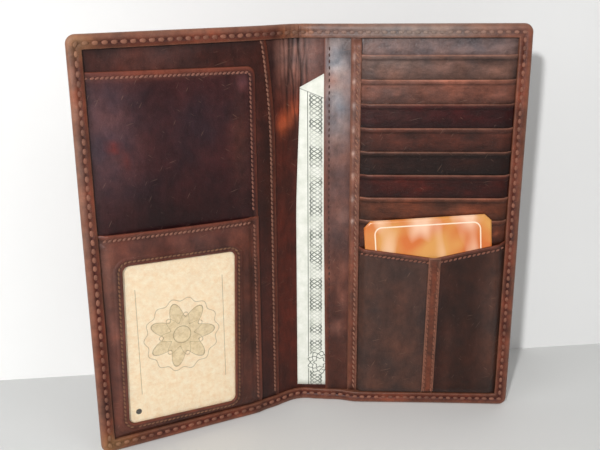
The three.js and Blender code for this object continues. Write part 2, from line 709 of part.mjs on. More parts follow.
const leftFold = new THREE.Group();
leftFold.position.y = BOW_DEPTH - LINING_TOP;
leftFold.rotation.z = -THREE.MathUtils.degToRad(LEFT_BEND_DEG);
leftFold.add(spine);

// The origin is on the floor, under the middle of the open wallet's box
const wallet = new THREE.Group();
wallet.add(leftCover, leftFold);
const box = new THREE.Box3().setFromObject(wallet, true);
const middle = box.getCenter(new THREE.Vector3());
wallet.position.set(-middle.x, -middle.y, -box.min.z);

export default wallet;
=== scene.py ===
import math

import bmesh
import bpy
import numpy as np
from mathutils import Matrix


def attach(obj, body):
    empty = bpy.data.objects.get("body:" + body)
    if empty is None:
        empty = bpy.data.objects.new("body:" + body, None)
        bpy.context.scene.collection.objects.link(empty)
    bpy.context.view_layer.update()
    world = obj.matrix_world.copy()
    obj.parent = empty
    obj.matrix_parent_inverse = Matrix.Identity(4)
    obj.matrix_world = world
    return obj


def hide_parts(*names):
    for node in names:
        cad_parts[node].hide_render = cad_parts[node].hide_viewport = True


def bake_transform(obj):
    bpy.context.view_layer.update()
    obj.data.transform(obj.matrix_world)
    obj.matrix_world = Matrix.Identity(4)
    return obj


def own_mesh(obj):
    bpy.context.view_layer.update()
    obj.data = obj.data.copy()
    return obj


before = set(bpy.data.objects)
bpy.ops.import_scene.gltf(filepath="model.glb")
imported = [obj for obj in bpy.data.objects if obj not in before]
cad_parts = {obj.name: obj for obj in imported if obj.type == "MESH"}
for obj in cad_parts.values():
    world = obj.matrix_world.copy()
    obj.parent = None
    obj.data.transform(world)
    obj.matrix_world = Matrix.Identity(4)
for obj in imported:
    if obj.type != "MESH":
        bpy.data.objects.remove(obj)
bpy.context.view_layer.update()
random = np.random.default_rng(7)

# Places on the opened wallet in millimetres: s along it from the left fold, negative on the left cover,
# u from a cover's own fold, v in from a cover's rim, z up, and lift from the lining towards the viewer

# Sizes of the wallet in millimetres, as in the solids
HEIGHT = 190.0
COVER = 97.75
SPINE = 14.0
LEFT_BEND = math.radians(17.4)
RIGHT_BEND = math.radians(11.9)
BOW_DEPTH = 2.5
BOW_RUN = 26.0
SPINE_BULGE = 1.8
CORNER = 4.0
BACK = -1.85
INSIDE = -0.65
LINING = 0.5
HEM_WIDTH = 6.2
HEM_LEATHER = 1.0
PANEL = 0.7
LAYER_GAP = 0.15
SEAM_INSET = 1.5
SQUEEZE = 0.4
SQUEEZE_RAMP = 3.0
TUCK = 0.3
TUCK_RAMP = 2.5
ORIGIN = (0.1203, 26.1384)

# Left cover layout
POCKET_EDGE = 5.9
POCKET_EDGE_DROP = 5.0
POCKET_CURVE_Z = 130.0
POCKET_LIFT = 0.15
SLIP_EDGE = 16.3
SLIP_TOP_Z = 173.8
SLIP_CORNER = 4.0
SLIP_LIFT = 1.0
INSERT_LIFT = 1.85
INSERT_BOARD = 0.25
INSERT_LAP = 4.1
INSERT_LOW = 9.65
INSERT_LENGTH = 86.0
PANE_LIFT = 2.25
PANE_FILM = 0.2
PANE_LAP = 4.0
PANE_LAP_LOW = 2.5
FRAME_LIFT = 2.6
FRAME_TOP_Z = 104.5
FRAME_GAPE = 1.1
WELT_WIDTH = 4.0
WELT_RISE = 0.3
SLANT = 0.026
WINDOW_NEAR = 30.3
WINDOW_WIDTH = 53.05
WINDOW_BASE = 12.0
WINDOW_HEIGHT = 77.6
WINDOW_CORNER = 3.0

# Right cover layout
NOTE_LIFT = 0.15
NOTE_PAPER = 0.15
NOTE_WIDTH = 66.0
NOTE_NEAR = -8.3
NOTE_BASE = 8.5
NOTE_LENGTH = 161.0
NOTE_EAR = 8.0
NOTE_POCKET_EDGE = 4.4
NOTE_POCKET_LIFT = 0.45
NOTE_POCKET_LEAN = 1.1
NOTE_POCKET_LEAN_Z = 100.0
CARD_PANEL_EDGE = 16.6
CARD_PANEL_LIFT = 1.3
CARD_PANEL_TOP = 1.9
BINDING_EDGE = 21.4
BINDING_TOP = 4.06
BINDING_FOLD = 1.5
SLOT_COUNT = 8
SLOT_PITCH = 11.1
SLOT_TOP_Z = 176.6
STRIP_LEATHER = 0.5
STRIP_LIP = 0.4
LIP_HEIGHT = 2.2
STRIP_BACK = 4.4
STRIP_SLOPE = 0.6 / SLOT_PITCH
SAMPLE_LIFT = 5.45
SAMPLE_BOARD = 0.3
SAMPLE_LENGTH = 60.0
SAMPLE_CUT = 3.2
SAMPLE_TOP_Z = 100.5
SAMPLE_TILT = math.radians(4.2)
FRONT_LIFT = 5.9
FRONT_LEFT_Z = 85.6
FRONT_DIP_Z = 80.2
FRONT_RIGHT_Z = 89.8
STRIP_WIDTH = 5.8
STRIP_LIFT = 6.75
STRIP_LEAN = 1.2
SEAM_STRIP = 0.6

# Places and heights that follow from these sizes
TURN = LEFT_BEND + RIGHT_BEND
FOLD_Y = BOW_DEPTH + BACK
SPINE_MIDDLE = SPINE / 2
MOUTH = COVER - HEM_WIDTH
SEWN_LOW = SEAM_INSET + 2
SEWN_FAR = COVER - SEAM_INSET - 2
SEAM_TOP = HEIGHT - SEAM_INSET
PANEL_MIDDLE = (SLIP_EDGE + MOUTH) / 2
FRONT_MIDDLE = (BINDING_EDGE + MOUTH) / 2
FRONT_DIP_AT = FRONT_MIDDLE + 1.5
SAMPLE_MIDDLE = FRONT_MIDDLE - 3.0
SAMPLE_HALF = (MOUTH - BINDING_EDGE - 9.8) / 2
POCKET_TOP = POCKET_LIFT + PANEL
SLIP_TOP = SLIP_LIFT + PANEL
FRAME_TOP = FRAME_LIFT + PANEL
NOTE_POCKET_TOP = NOTE_POCKET_LIFT + PANEL
SLOT_TOP = STRIP_BACK + STRIP_LEATHER + STRIP_LIP
FRONT_TOP = FRONT_LIFT + PANEL
STRIP_TOP = STRIP_LIFT + SEAM_STRIP

LIGHT_ON_LEATHER = 1.32
SHEEN = 0.015
DARKEST = 0.0015


def srgb(red, green, blue):
    """A colour given in display values, as the linear values that shaders use."""
    values = np.array([red, green, blue]) / 255.0
    return np.where(values <= 0.04045, values / 12.92, ((values + 0.055) / 1.055) ** 2.4)


def seen(red, green, blue):
    """The leather's own colour for one seen in this light, less the sheen of its wax."""
    return np.maximum(srgb(red, green, blue) - SHEEN, DARKEST) / LIGHT_ON_LEATHER


def rgba(colour):
    return (float(colour[0]), float(colour[1]), float(colour[2]), 1.0)


def paint(red, green, blue):
    return rgba(srgb(red, green, blue))


def smooth(share):
    share = np.clip(share, 0.0, 1.0)
    return share * share * (3.0 - 2.0 * share)


def hump(value, at, width):
    """A soft hump of height one."""
    return np.exp(-(((value - at) / width) ** 2))


def rounding(distance, radius):
    """How far a rounded edge lies below its surface, at a distance from the edge."""
    share = np.clip(1 - distance / radius, 0, 1)
    return radius * (1 - np.sqrt(1 - share * share))


# The line of the opened wallet in plan, along the lining's inner face

PLAN_STEP = 0.25
PLAN_SPARE = 12.0
FOLD_SOFTNESS = 1.8
FOLD_REACH = 6.0
RIM_REACH = 8.0
WAVE_DEPTH = 0.3
WAVE_ALONG = 17.0
WAVE_UP = 23.0
WAVE_FROM = 12.0
WAVE_RAMP = 10.0


def right_plan(u):
    """Plan place at a distance from the right fold, straight along the right cover."""
    x = SPINE * math.cos(LEFT_BEND) + u * math.cos(TURN)
    y = FOLD_Y - SPINE * math.sin(LEFT_BEND) - u * math.sin(TURN)
    return np.stack([x, y], -1)


def sharp_plan(s):
    """Plan place before smoothing; s runs from the left fold, negative on the left cover."""
    left = np.stack([s, BACK + BOW_DEPTH * np.clip(1 + s / BOW_RUN, 0, 1) ** 2], 1)
    along = np.clip(s, 0, SPINE)
    behind = 4 * SPINE_BULGE * (along / SPINE) * (1 - along / SPINE)
    spine_x = along * math.cos(LEFT_BEND) + behind * math.sin(LEFT_BEND)
    spine_y = FOLD_Y - along * math.sin(LEFT_BEND) + behind * math.cos(LEFT_BEND)
    middle = np.stack([spine_x, spine_y], 1)
    left_part = np.where((s < 0)[:, None], left, middle)
    return np.where((s > SPINE)[:, None], right_plan(s - SPINE), left_part)


PLAN_S = np.arange(-COVER - PLAN_SPARE, SPINE + COVER + PLAN_SPARE, PLAN_STEP)
KERNEL = hump(np.arange(-FOLD_REACH, FOLD_REACH + PLAN_STEP, PLAN_STEP), 0.0, FOLD_SOFTNESS)
KERNEL = KERNEL / KERNEL.sum()
SHARP = sharp_plan(PLAN_S)
PLAN = np.stack([np.convolve(SHARP[:, axis], KERNEL, "same") for axis in (0, 1)], 1)
TANGENT = np.gradient(PLAN, axis=0)
TANGENT = TANGENT / np.linalg.norm(TANGENT, axis=1)[:, None]


def along_wallet(side, u):
    """The place along the wallet of a distance from a cover's own fold."""
    return -u if side < 0 else SPINE + u


def from_fold(side, s):
    """The distance from a cover's own fold of a place along the wallet."""
    return -s if side < 0 else s - SPINE


def wave(s, z):
    """A shallow unevenness of the rim; what slides inside the pockets stays clear of it."""
    u = np.where(s < 0, -s, s - SPINE)
    inside = np.minimum(np.minimum(COVER - u, z), HEIGHT - z)
    along_rim = np.sin(s / WAVE_ALONG + 0.6) * np.sin(z / WAVE_UP + 0.4)
    near_rim = 1 - smooth(inside / RIM_REACH)
    return WAVE_DEPTH * along_rim * near_rim * smooth((u - WAVE_FROM) / WAVE_RAMP)


def place(s, z, lift):
    """Points in millimetres for places on the opened wallet, lifted towards the viewer."""
    raised = lift + wave(s, z)
    x = np.interp(s, PLAN_S, PLAN[:, 0]) + np.interp(s, PLAN_S, TANGENT[:, 1]) * raised
    y = np.interp(s, PLAN_S, PLAN[:, 1]) - np.interp(s, PLAN_S, TANGENT[:, 0]) * raised
    return np.stack([x + ORIGIN[0], y + ORIGIN[1], z], -1)


# Layer heights: sewn margins are squeezed under the hem

def squeeze(u, z):
    line = HEM_WIDTH + LAYER_GAP
    inside = np.minimum(np.minimum(COVER - line - u, z - line), HEIGHT - line - z)
    return SQUEEZE + (1 - SQUEEZE) * smooth(inside / SQUEEZE_RAMP)


def level(side, u, z, lift):
    """The height of a layer above the lining, drawn down at the edge that is sewn on the inner side."""
    seat = SLIP_TOP if side < 0 else CARD_PANEL_TOP
    line = SLIP_EDGE + WELT_WIDTH if side < 0 else BINDING_EDGE + LAYER_GAP
    tuck = TUCK + (1 - TUCK) * smooth((u - line) / TUCK_RAMP)
    raised = np.where(lift > seat, seat + tuck * (lift - seat), lift)
    return squeeze(u, z) * raised


def slanted(u, top):
    return top + SLANT * (u - PANEL_MIDDLE)


def step_up(value, edge, run):
    return smooth((value - edge + run) / (2 * run))


SHORT_RUN = 2.0
UP_RUN = 5.0
PANEL_RUN = 6.0
ABOVE_EDGE = 2.0


def hem_top(s, z):
    """The height of the turned hem over the layers that it covers."""
    left = POCKET_TOP * step_up(-s, POCKET_EDGE, SHORT_RUN)
    inner = step_up(-s, SLIP_EDGE, SHORT_RUN)
    left = left + inner * (SLIP_TOP - POCKET_TOP) * (1 - step_up(z, SLIP_TOP_Z + ABOVE_EDGE, UP_RUN))
    left = left + inner * (FRAME_TOP - SLIP_TOP) * (1 - step_up(z, FRAME_TOP_Z + ABOVE_EDGE, UP_RUN))
    right = NOTE_POCKET_TOP * step_up(s - SPINE, NOTE_POCKET_EDGE, SHORT_RUN)
    inner = step_up(s - SPINE, CARD_PANEL_EDGE, PANEL_RUN)
    right = right + inner * (BINDING_TOP - NOTE_POCKET_TOP)
    right = right + inner * (SLOT_TOP - BINDING_TOP) * (1 - step_up(z, SLOT_TOP_Z + ABOVE_EDGE, UP_RUN))
    right = right + inner * (STRIP_TOP - SLOT_TOP) * (1 - step_up(z, FRONT_RIGHT_Z + ABOVE_EDGE, UP_RUN))
    stack = np.where(s < 0, left, np.where(s > SPINE, right, 0.0))
    return SQUEEZE * stack + LAYER_GAP + HEM_LEATHER


# Meshes with their place on the flat wallet as UV, a colour and a wear value at every point

MERGE_DISTANCE = 2e-6
EDGE_ROUND = 0.5
FAR_FROM_EDGE = 50.0
FINE_STEPS = np.array([0, 0.1, 0.25, 0.5, 0.9, 1.4, 1.9, 2.3, 2.7, 3.2, 4.0, 5.2, 7.0])
WHITE = (1.0, 1.0, 1.0)


def finish_mesh(name, points, faces, flat, colour, wear, material):
    mesh = bpy.data.meshes.new(name)
    mesh.from_pydata((points / 1000.0).tolist(), [], faces)
    mesh.update()
    corners = np.zeros(len(mesh.loops), np.int32)
    mesh.loops.foreach_get("vertex_index", corners)
    layer = mesh.uv_layers.new(name="flat")
    layer.data.foreach_set("uv", (flat[corners] / 1000.0).astype(np.float32).ravel())
    tint = mesh.attributes.new("tint", "FLOAT_COLOR", "POINT")
    opaque = np.concatenate([colour, np.ones((len(colour), 1))], 1)
    tint.data.foreach_set("color", opaque.astype(np.float32).ravel())
    worn = mesh.attributes.new("wear", "FLOAT", "POINT")
    worn.data.foreach_set("value", wear.astype(np.float32))
    work = bmesh.new()
    work.from_mesh(mesh)
    bmesh.ops.remove_doubles(work, verts=work.verts, dist=MERGE_DISTANCE)
    bmesh.ops.recalc_face_normals(work, faces=work.faces)
    work.to_mesh(mesh)
    work.free()
    mesh.shade_smooth()
    mesh.materials.append(material)
    piece = bpy.data.objects.new(name, mesh)
    bpy.context.scene.collection.objects.link(piece)
    return piece


def grid_faces(rows, columns, first):
    faces = []
    for row in range(rows - 1):
        for column in range(columns - 1):
            corner = first + row * columns + column
            faces.append((corner, corner + 1, corner + columns + 1, corner + columns))
    return faces


def ring_faces(rings, around, first):
    """Faces between closed rings of points."""
    faces = []
    for ring in range(rings - 1):
        for spoke in range(around):
            here = first + ring * around + spoke
            beside = first + ring * around + (spoke + 1) % around
            faces.append((here, beside, beside + around, here + around))
    return faces


def band_faces(ring, count):
    """Faces between a closed ring of points in front and the same ring behind it."""
    faces = []
    for here, following in zip(ring, ring[1:] + ring[:1]):
        faces.append((here, here + count, following + count, following))
    return faces


def turned_over(faces):
    """The same faces seen from the other side, each from the same first corner."""
    return [face[:1] + face[:0:-1] for face in faces]


def sheet_faces(rows, columns):
    """A thin sheet: a grid in front, the same grid behind it and a band round the border."""
    count = rows * columns
    front = grid_faces(rows, columns, 0)
    behind = [face[::-1] for face in grid_faces(rows, columns, count)]
    index = np.arange(count).reshape(rows, columns)
    border = np.concatenate([index[0], index[1:, -1], index[-1, -2::-1], index[-2:0:-1, 0]])
    return front + behind + band_faces(border.tolist(), count)


def distance_to(u, z, line):
    """The distance of points to a line of straight pieces."""
    best = np.full(np.shape(u), 1e3)
    for (u0, z0), (u1, z1) in zip(line[:-1], line[1:]):
        du = u1 - u0
        dz = z1 - z0
        share = np.clip(((u - u0) * du + (z - z0) * dz) / max(du * du + dz * dz, 1e-9), 0, 1)
        best = np.minimum(best, np.hypot(u - u0 - share * du, z - z0 - share * dz))
    return best


def edge_relief(distance, groove_at, groove, swelling=0.14):
    """A cut or turned edge: rounded over, then a slight swell, then a groove pressed by the stitches."""
    swell = swelling * hump(distance, groove_at * 0.5, groove_at * 0.35)
    return swell - rounding(distance, EDGE_ROUND) - groove * hump(distance, groove_at, 0.5)


def lay_patches(tint, s, z, patches):
    """Lays soft patches of other colours over a tint: centre, reach, colour and strength of each."""
    for at_s, at_z, reach_s, reach_z, other, strength in patches:
        away = ((s - at_s) / reach_s) ** 2 + ((z - at_z) / reach_z) ** 2
        share = (strength * np.exp(-away))[:, None]
        tint = tint * (1 - share) + np.array(other) * share
    return tint


def patched(colour, s, z, patches):
    return lay_patches(np.tile(np.array(colour), (len(s), 1)), s, z, patches)


def blotches(colour, s_range, z_range, count, reach_s, reach_z, strength):
    """Rubbed and dark places scattered over a piece of one colour."""
    places = []
    for spot in range(count):
        at_s = random.uniform(s_range[0], s_range[1])
        at_z = random.uniform(z_range[0], z_range[1])
        wide = reach_s * random.uniform(0.5, 1.4)
        tall = reach_z * random.uniform(0.5, 1.4)
        tone = np.array(colour) * random.choice([0.45, 0.6, 1.6, 2.0])
        places.append((at_s, at_z, wide, tall, tone, strength * random.uniform(0.6, 1.0)))
    return places


def stations(low, high, step=3.0, fine=None):
    """Even stations between two ends, with close ones at the end that shows."""
    values = list(np.linspace(low, high, max(2, int((high - low) / step)) + 1))
    close = FINE_STEPS[FINE_STEPS < (high - low) / 2]
    if fine == "low":
        values += list(low + close)
    if fine == "high":
        values += list(high - close)
    values = np.unique(np.round(values, 4))
    keep = np.concatenate([[True], np.diff(values) > 0.05])
    keep[-1] = True
    return values[keep]


def row_shade(distance, at):
    """Painted shade in the groove that a row of stitches presses."""
    return 1 - 0.42 * hump(distance, at, 0.95)


def hem_shade(inside):
    """Painted shade that darkens the leather beside the hem."""
    return 0.5 + 0.5 * smooth((inside + 0.6) / 4.2)


def seam_shade(side, u, z):
    shade = hem_shade(np.minimum(np.minimum(MOUTH - u, z - HEM_WIDTH), HEIGHT - HEM_WIDTH - z))
    if side > 0:
        # Painted shade on the slots beside the binding, where they go under it.
        shade = shade * np.where(u > BINDING_EDGE, 0.75 + 0.25 * smooth((u - BINDING_EDGE) / 1.5), 1.0)
    return shade


def sheet(
    name, side, u, z, under, over, material, colour,
    edge=FAR_FROM_EDGE, worn_reach=1.0, patches=(), shade=1.0, row=None,
):
    """A closed sheet over a grid of places on a cover. edge is each point's distance to a free edge."""
    s = along_wallet(side, u)
    points = np.concatenate([place(s, z, over).reshape(-1, 3), place(s, z, under).reshape(-1, 3)])
    flat = np.tile(np.stack([s.ravel(), z.ravel()], 1), (2, 1))
    edge = np.broadcast_to(edge, u.shape)
    worn = np.tile(np.exp(-edge.ravel() / worn_reach), 2)
    shade = shade * seam_shade(side, u, z)
    if row is not None:
        shade = shade * row_shade(edge, row)
    tint = patched(colour, flat[:, 0], flat[:, 1], patches) * np.tile(shade.ravel(), 2)[:, None]
    return finish_mesh(name, points, sheet_faces(*u.shape), flat, tint, worn, material)


# Materials

class Look:
    """A material, with short names for the nodes that are added to it."""

    def __init__(self, name):
        self.material = bpy.data.materials.new(name)
        self.material.use_nodes = True
        self.tree = self.material.node_tree
        self.shader = self.tree.nodes["Principled BSDF"]

    def join(self, socket, value):
        if isinstance(value, bpy.types.NodeSocket):
            self.tree.links.new(value, socket)
        else:
            socket.default_value = value

    def add(self, kind, inputs, output=0, **settings):
        node = self.tree.nodes.new("ShaderNode" + kind)
        for key, value in settings.items():
            setattr(node, key, value)
        for key, value in inputs.items():
            self.join(node.inputs[key], value)
        return node.outputs[output]

    def set_shader(self, values):
        for key, value in values.items():
            self.join(self.shader.inputs[key], value)

    def show(self, surface):
        self.join(self.tree.nodes["Material Output"].inputs["Surface"], surface)

    def math(self, operation, first, second=0.0):
        return self.add("Math", {0: first, 1: second}, operation=operation)

    def chain(self, operation, values):
        result = values[0]
        for value in values[1:]:
            result = self.math(operation, result, value)
        return result

    def total(self, *values):
        return self.chain("ADD", values)

    def product(self, *values):
        return self.chain("MULTIPLY", values)

    def largest(self, *values):
        return self.chain("MAXIMUM", values)

    def near(self, value, centre, width):
        """One where a value lies within a width of a centre, else nought."""
        return self.add("Math", {0: value, 1: centre, 2: width}, operation="COMPARE")

    def remap(self, value, low, high, to_low=0.0, to_high=1.0):
        inputs = {"Value": value, "From Min": low, "From Max": high, "To Min": to_low, "To Max": to_high}
        return self.add("MapRange", inputs, "Result", clamp=True)

    def mix(self, share, first, second, kind="MIX"):
        return self.add("Mix", {0: share, 6: first, 7: second}, 2, data_type="RGBA", blend_type=kind)

    def scaled(self, vector, scale):
        return self.add("VectorMath", {0: vector, "Scale": scale}, operation="SCALE")

    def parts(self, vector):
        node = self.add("SeparateXYZ", {0: vector}).node
        return node.outputs[0], node.outputs[1]

    def attribute(self, name, output):
        return self.add("Attribute", {}, output, attribute_name=name)

    def flat(self, shift=(0.0, 0.0), scale=(1.0, 1.0), turn=0.0):
        """The place on the flat wallet in millimetres, moved, stretched and turned."""
        uv = self.add("UVMap", {}, "UV", uv_map="flat")
        inputs = {
            "Vector": self.scaled(uv, 1000.0),
            "Location": (shift[0], shift[1], 0.0),
            "Scale": (scale[0], scale[1], 1.0),
            "Rotation": (0.0, 0.0, turn),
        }
        return self.add("Mapping", inputs, "Vector")

    def noise(self, vector, scale, detail=3.0, roughness=0.55):
        inputs = {"Vector": vector, "Scale": scale, "Detail": detail, "Roughness": roughness}
        return self.add("TexNoise", inputs, "Fac")

    def bump(self, height, strength, distance):
        return self.add("Bump", {"Strength": strength, "Distance": distance, "Height": height}, "Normal")

    def scratches(self, seed, turn, stretch, threshold):
        """Thin long marks in one direction."""
        vector = self.flat((seed, seed * 0.7), turn=turn)
        drawn = self.add("VectorMath", {0: vector, 1: (1.0, stretch, 1.0)}, operation="MULTIPLY")
        return self.remap(self.noise(drawn, 1.7, 1.0, 0.4), threshold, threshold + 0.05)

    def polar(self, centre):
        """The distance and direction from a point of the flat wallet, and the two parts of the way to it."""
        vector = self.flat((-centre[0], -centre[1]))
        radius = self.add("VectorMath", {0: vector}, "Value", operation="LENGTH")
        across, up = self.parts(vector)
        return radius, self.math("ARCTAN2", up, across), across, up

    def petals(self, angle, count, middle, reach):
        """The radius of a flower-like line round a centre."""
        turned = self.math("COSINE", self.product(angle, float(count)))
        return self.total(self.product(turned, reach), middle)


COOL = (0.66, 0.74, 0.84, 1.0)
WARM = (1.3, 1.1, 1.0, 1.0)
WORN_TAN = seen(172, 122, 102)
WORN_RED = seen(140, 78, 60)
WORN_HEM = seen(166, 118, 96)
PALE_MARK = seen(176, 138, 118)
BRAID_STRANDS = 5
BRAID_TURN = 0.62
BRAID_SWAY = 2.7
NOTE_FOLD_Z = 158.2
NOTE_FOLD_SLOPE = 0.4
NOTE_ROSETTE = (2.6, 21.0)
INSERT_ROSETTE = (-56.5, 52.0)
INSERT_HOLE = (-79.4, 17.6)


def leather(name, seed, worn_colour, gloss, drawn_out, mottle):
    """Waxed leather: clouded, grained, scratched, and rubbed to another colour where it is worn."""
    look = Look(name)
    tint = look.attribute("tint", "Color")
    wear = look.attribute("wear", "Fac")
    vector = look.flat((seed * 13.0, seed * 7.0))
    broad = look.noise(vector, 0.05, 3.0, 0.6)
    cloudy = look.noise(look.flat((seed * 5.0, seed * 3.0), drawn_out), 0.3, 5.0, 0.7)
    fine = look.noise(vector, 2.4, 3.0, 0.6)
    cells = look.add("TexVoronoi", {"Vector": vector, "Scale": 0.95}, "Distance", feature="SMOOTH_F1")
    warm = look.mix(1.0, tint, look.mix(look.remap(broad, 0.35, 0.65), COOL, WARM), "MULTIPLY")
    shade = look.remap(cloudy, 0.3, 0.7, 1.0 - mottle, 1.0 + mottle)
    grained = look.scaled(warm, look.product(shade, look.remap(fine, 0.3, 0.7, 0.86, 1.14)))
    marks = look.largest(
        look.scratches(seed * 31.0, 0.5, 0.08, 0.735),
        look.scratches(seed * 17.0, 1.3, 0.05, 0.735),
        look.scratches(seed * 23.0, 2.2, 0.1, 0.74),
    )
    marked = look.mix(look.product(marks, 0.22), grained, rgba(PALE_MARK))
    rubbed = look.product(wear, look.remap(cloudy, 0.3, 0.6, 0.45, 1.0), 0.85)
    grain = look.total(look.product(cells, 0.5), look.product(fine, 0.5))
    relief = look.total(grain, look.product(cloudy, 1.6), look.product(marks, -0.3))
    look.set_shader({
        "Base Color": look.mix(rubbed, marked, rgba(worn_colour)),
        "Roughness": look.remap(cloudy, 0.25, 0.75, gloss - 0.08, gloss + 0.12),
        "Specular IOR Level": 0.28,
        "Normal": look.bump(relief, 0.3, 0.0005),
    })
    return look.material


def thread_material():
    look = Look("waxed_thread")
    fibres = look.noise(look.flat((3.0, 5.0), turn=0.6), 3.5, 2.0)
    look.set_shader({
        "Base Color": look.scaled(look.attribute("tint", "Color"), look.remap(fibres, 0.3, 0.7, 0.7, 1.2)),
        "Roughness": 0.7,
        "Normal": look.bump(fibres, 0.4, 0.0002),
    })
    return look.material


def film_material():
    """Clear film with a weak, uneven gloss."""
    look = Look("clear_film")
    look.tree.nodes.remove(look.shader)
    ripples = look.noise(look.flat(), 0.12, 2.0)
    clear = look.add("BsdfTransparent", {"Color": (0.97, 0.97, 0.95, 1.0)})
    gloss = look.add("BsdfGlossy", {
        "Color": (0.9, 0.9, 0.9, 1.0),
        "Roughness": look.remap(ripples, 0.3, 0.7, 0.1, 0.25),
        "Normal": look.bump(ripples, 0.25, 0.002),
    })
    look.show(look.add("MixShader", {0: look.remap(ripples, 0.3, 0.7, 0.02, 0.06), 1: clear, 2: gloss}))
    return look.material


def paper(name, roughness):
    look = Look(name)
    fibres = look.noise(look.flat(), 3.0, 3.0, 0.6)
    look.set_shader({"Roughness": roughness, "Normal": look.bump(fibres, 0.12, 0.0002)})
    return look


def insert_material():
    """Mottled cream card with a rosette, ruled lines and a punched hole."""
    look = paper("insert_paper", 0.55)
    mottle = look.noise(look.flat(), 0.35, 5.0, 0.75)
    colour = look.mix(look.remap(mottle, 0.35, 0.65), paint(246, 214, 178), paint(255, 238, 214))
    radius, angle, across, up = look.polar(INSERT_ROSETTE)
    outline = look.petals(angle, 7, 12.5, 3.5)
    gold = look.mix(look.remap(mottle, 0.4, 0.6), paint(198, 176, 136), paint(232, 208, 166))
    colour = look.mix(look.product(look.math("LESS_THAN", radius, outline), 0.65), colour, gold)
    lines = look.largest(
        look.near(radius, outline, 0.3),
        look.near(radius, look.petals(angle, 7, 8.5, -2.5), 0.22),
        look.near(radius, 4.2, 0.22),
        look.near(radius, look.petals(angle, 14, 17.5, 0.8), 0.18),
    )
    beside = look.math("ABSOLUTE", across)
    ruled = look.product(
        look.near(look.math("PINGPONG", across, 2.6), 0.0, 0.16),
        look.near(up, 0.0, 26.0),
        look.math("GREATER_THAN", beside, 18.5),
        look.math("LESS_THAN", beside, 23.5),
    )
    colour = look.mix(look.product(look.largest(lines, ruled), 0.55), colour, paint(112, 88, 58))
    hole = look.math("LESS_THAN", look.polar(INSERT_HOLE)[0], 1.4)
    look.set_shader({"Base Color": look.mix(hole, colour, paint(62, 58, 56))})
    return look.material


def sample_material():
    """Glossy orange card with blurred streaks and a pale rounded frame line."""
    look = paper("sample_paper", 0.28)
    streaks = look.noise(look.flat((4.0, 2.0), (1.0, 0.4), -0.45), 0.085, 1.0, 0.4)
    patches = look.noise(look.flat((31.0, 9.0)), 0.07, 1.0, 0.4)
    colour = look.mix(look.remap(patches, 0.4, 0.62), paint(198, 104, 44), paint(205, 144, 74))
    colour = look.mix(look.remap(streaks, 0.5, 0.66, 0.0, 0.9), colour, paint(232, 190, 160))
    from_top = look.flat((-SPINE - SAMPLE_MIDDLE, -SAMPLE_TOP_Z))
    upright = look.add("Mapping", {"Vector": from_top, "Rotation": (0.0, 0.0, -SAMPLE_TILT)}, "Vector")
    across, up = look.parts(upright)
    beside = look.largest(look.math("SUBTRACT", look.math("ABSOLUTE", across), 21.5), 0.0)
    above = look.largest(look.total(up, 7.1), 0.0)
    squared = look.total(look.math("POWER", beside, 2.0), look.math("POWER", above, 2.0))
    frame_line = look.product(look.near(look.math("SQRT", squared), 3.5, 0.3), 0.8)
    look.set_shader({"Base Color": look.mix(frame_line, colour, paint(248, 226, 204))})
    return look.material


def note_material():
    """Pale paper with a plain margin, a braided grey-green border, a rosette and a crease."""
    look = paper("note_paper", 0.75)
    mottle = look.noise(look.flat(), 0.2, 4.0, 0.7)
    colour = look.mix(look.remap(mottle, 0.35, 0.65), paint(208, 210, 198), paint(226, 226, 217))
    across, up = look.parts(look.flat())
    strands = []
    for strand in range(BRAID_STRANDS):
        phase = 2 * math.pi * strand / BRAID_STRANDS
        sway = look.product(look.math("SINE", look.total(look.product(up, BRAID_TURN), phase)), BRAID_SWAY)
        strands.append(look.near(look.math("SUBTRACT", across, sway), 0.6, 0.42))
    dense = look.remap(look.noise(look.flat(scale=(0.3, 1.0)), 0.12, 2.0), 0.42, 0.55, 0.3, 1.0)
    crease = look.total(up, look.product(across, NOTE_FOLD_SLOPE))
    below_ear = look.math("LESS_THAN", crease, NOTE_FOLD_Z)
    braid = look.product(look.largest(*strands), dense, below_ear)
    margin_line = look.product(look.near(across, -3.2, 0.2), below_ear)
    crease_line = look.product(look.near(crease, NOTE_FOLD_Z, 0.25), 0.6)
    radius, angle = look.polar(NOTE_ROSETTE)[:2]
    rings = look.largest(
        look.near(radius, look.petals(angle, 9, 5.6, 0.7), 0.25),
        look.near(radius, look.petals(angle, 9, 4.3, -0.6), 0.25),
        look.near(radius, look.petals(angle, 6, 2.6, 0.5), 0.25),
    )
    border = look.product(look.largest(braid, margin_line, crease_line), 0.9)
    ink = look.mix(look.math("LESS_THAN", radius, 6.6), border, rings)
    look.set_shader({"Base Color": look.mix(look.product(ink, 0.95), colour, paint(74, 82, 74))})
    return look.material


OUTER = leather("outer_leather", 1.0, WORN_HEM, 0.42, (0.7, 0.7), 0.34)
LINING_LEATHER = leather("lining_leather", 2.0, WORN_RED, 0.4, (1.0, 0.4), 0.36)
POCKET = leather("pocket_leather", 3.0, WORN_RED, 0.38, (0.8, 0.5), 0.3)
SLOT = leather("slot_leather", 4.0, WORN_TAN, 0.36, (0.42, 0.8), 0.45)
TRIM = leather("trim_leather", 5.0, WORN_TAN, 0.42, (0.8, 0.8), 0.4)
THREAD = thread_material()
FILM = film_material()
INSERT = insert_material()
SAMPLE = sample_material()
NOTE = note_material()


# How the pieces ride and stand in for the solids


def dress(piece, body, node):
    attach(piece, body)
    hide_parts(node)


def bend(piece):
    """Bakes the piece's place into its mesh; the leather is not bent at the folds here."""
    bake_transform(piece)


def dress_bent(piece, side, slot, *nodes):
    bend(piece)
    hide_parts(*nodes)


# Outer skin: the back, the rim and the turned hem of one cover with half of the spine

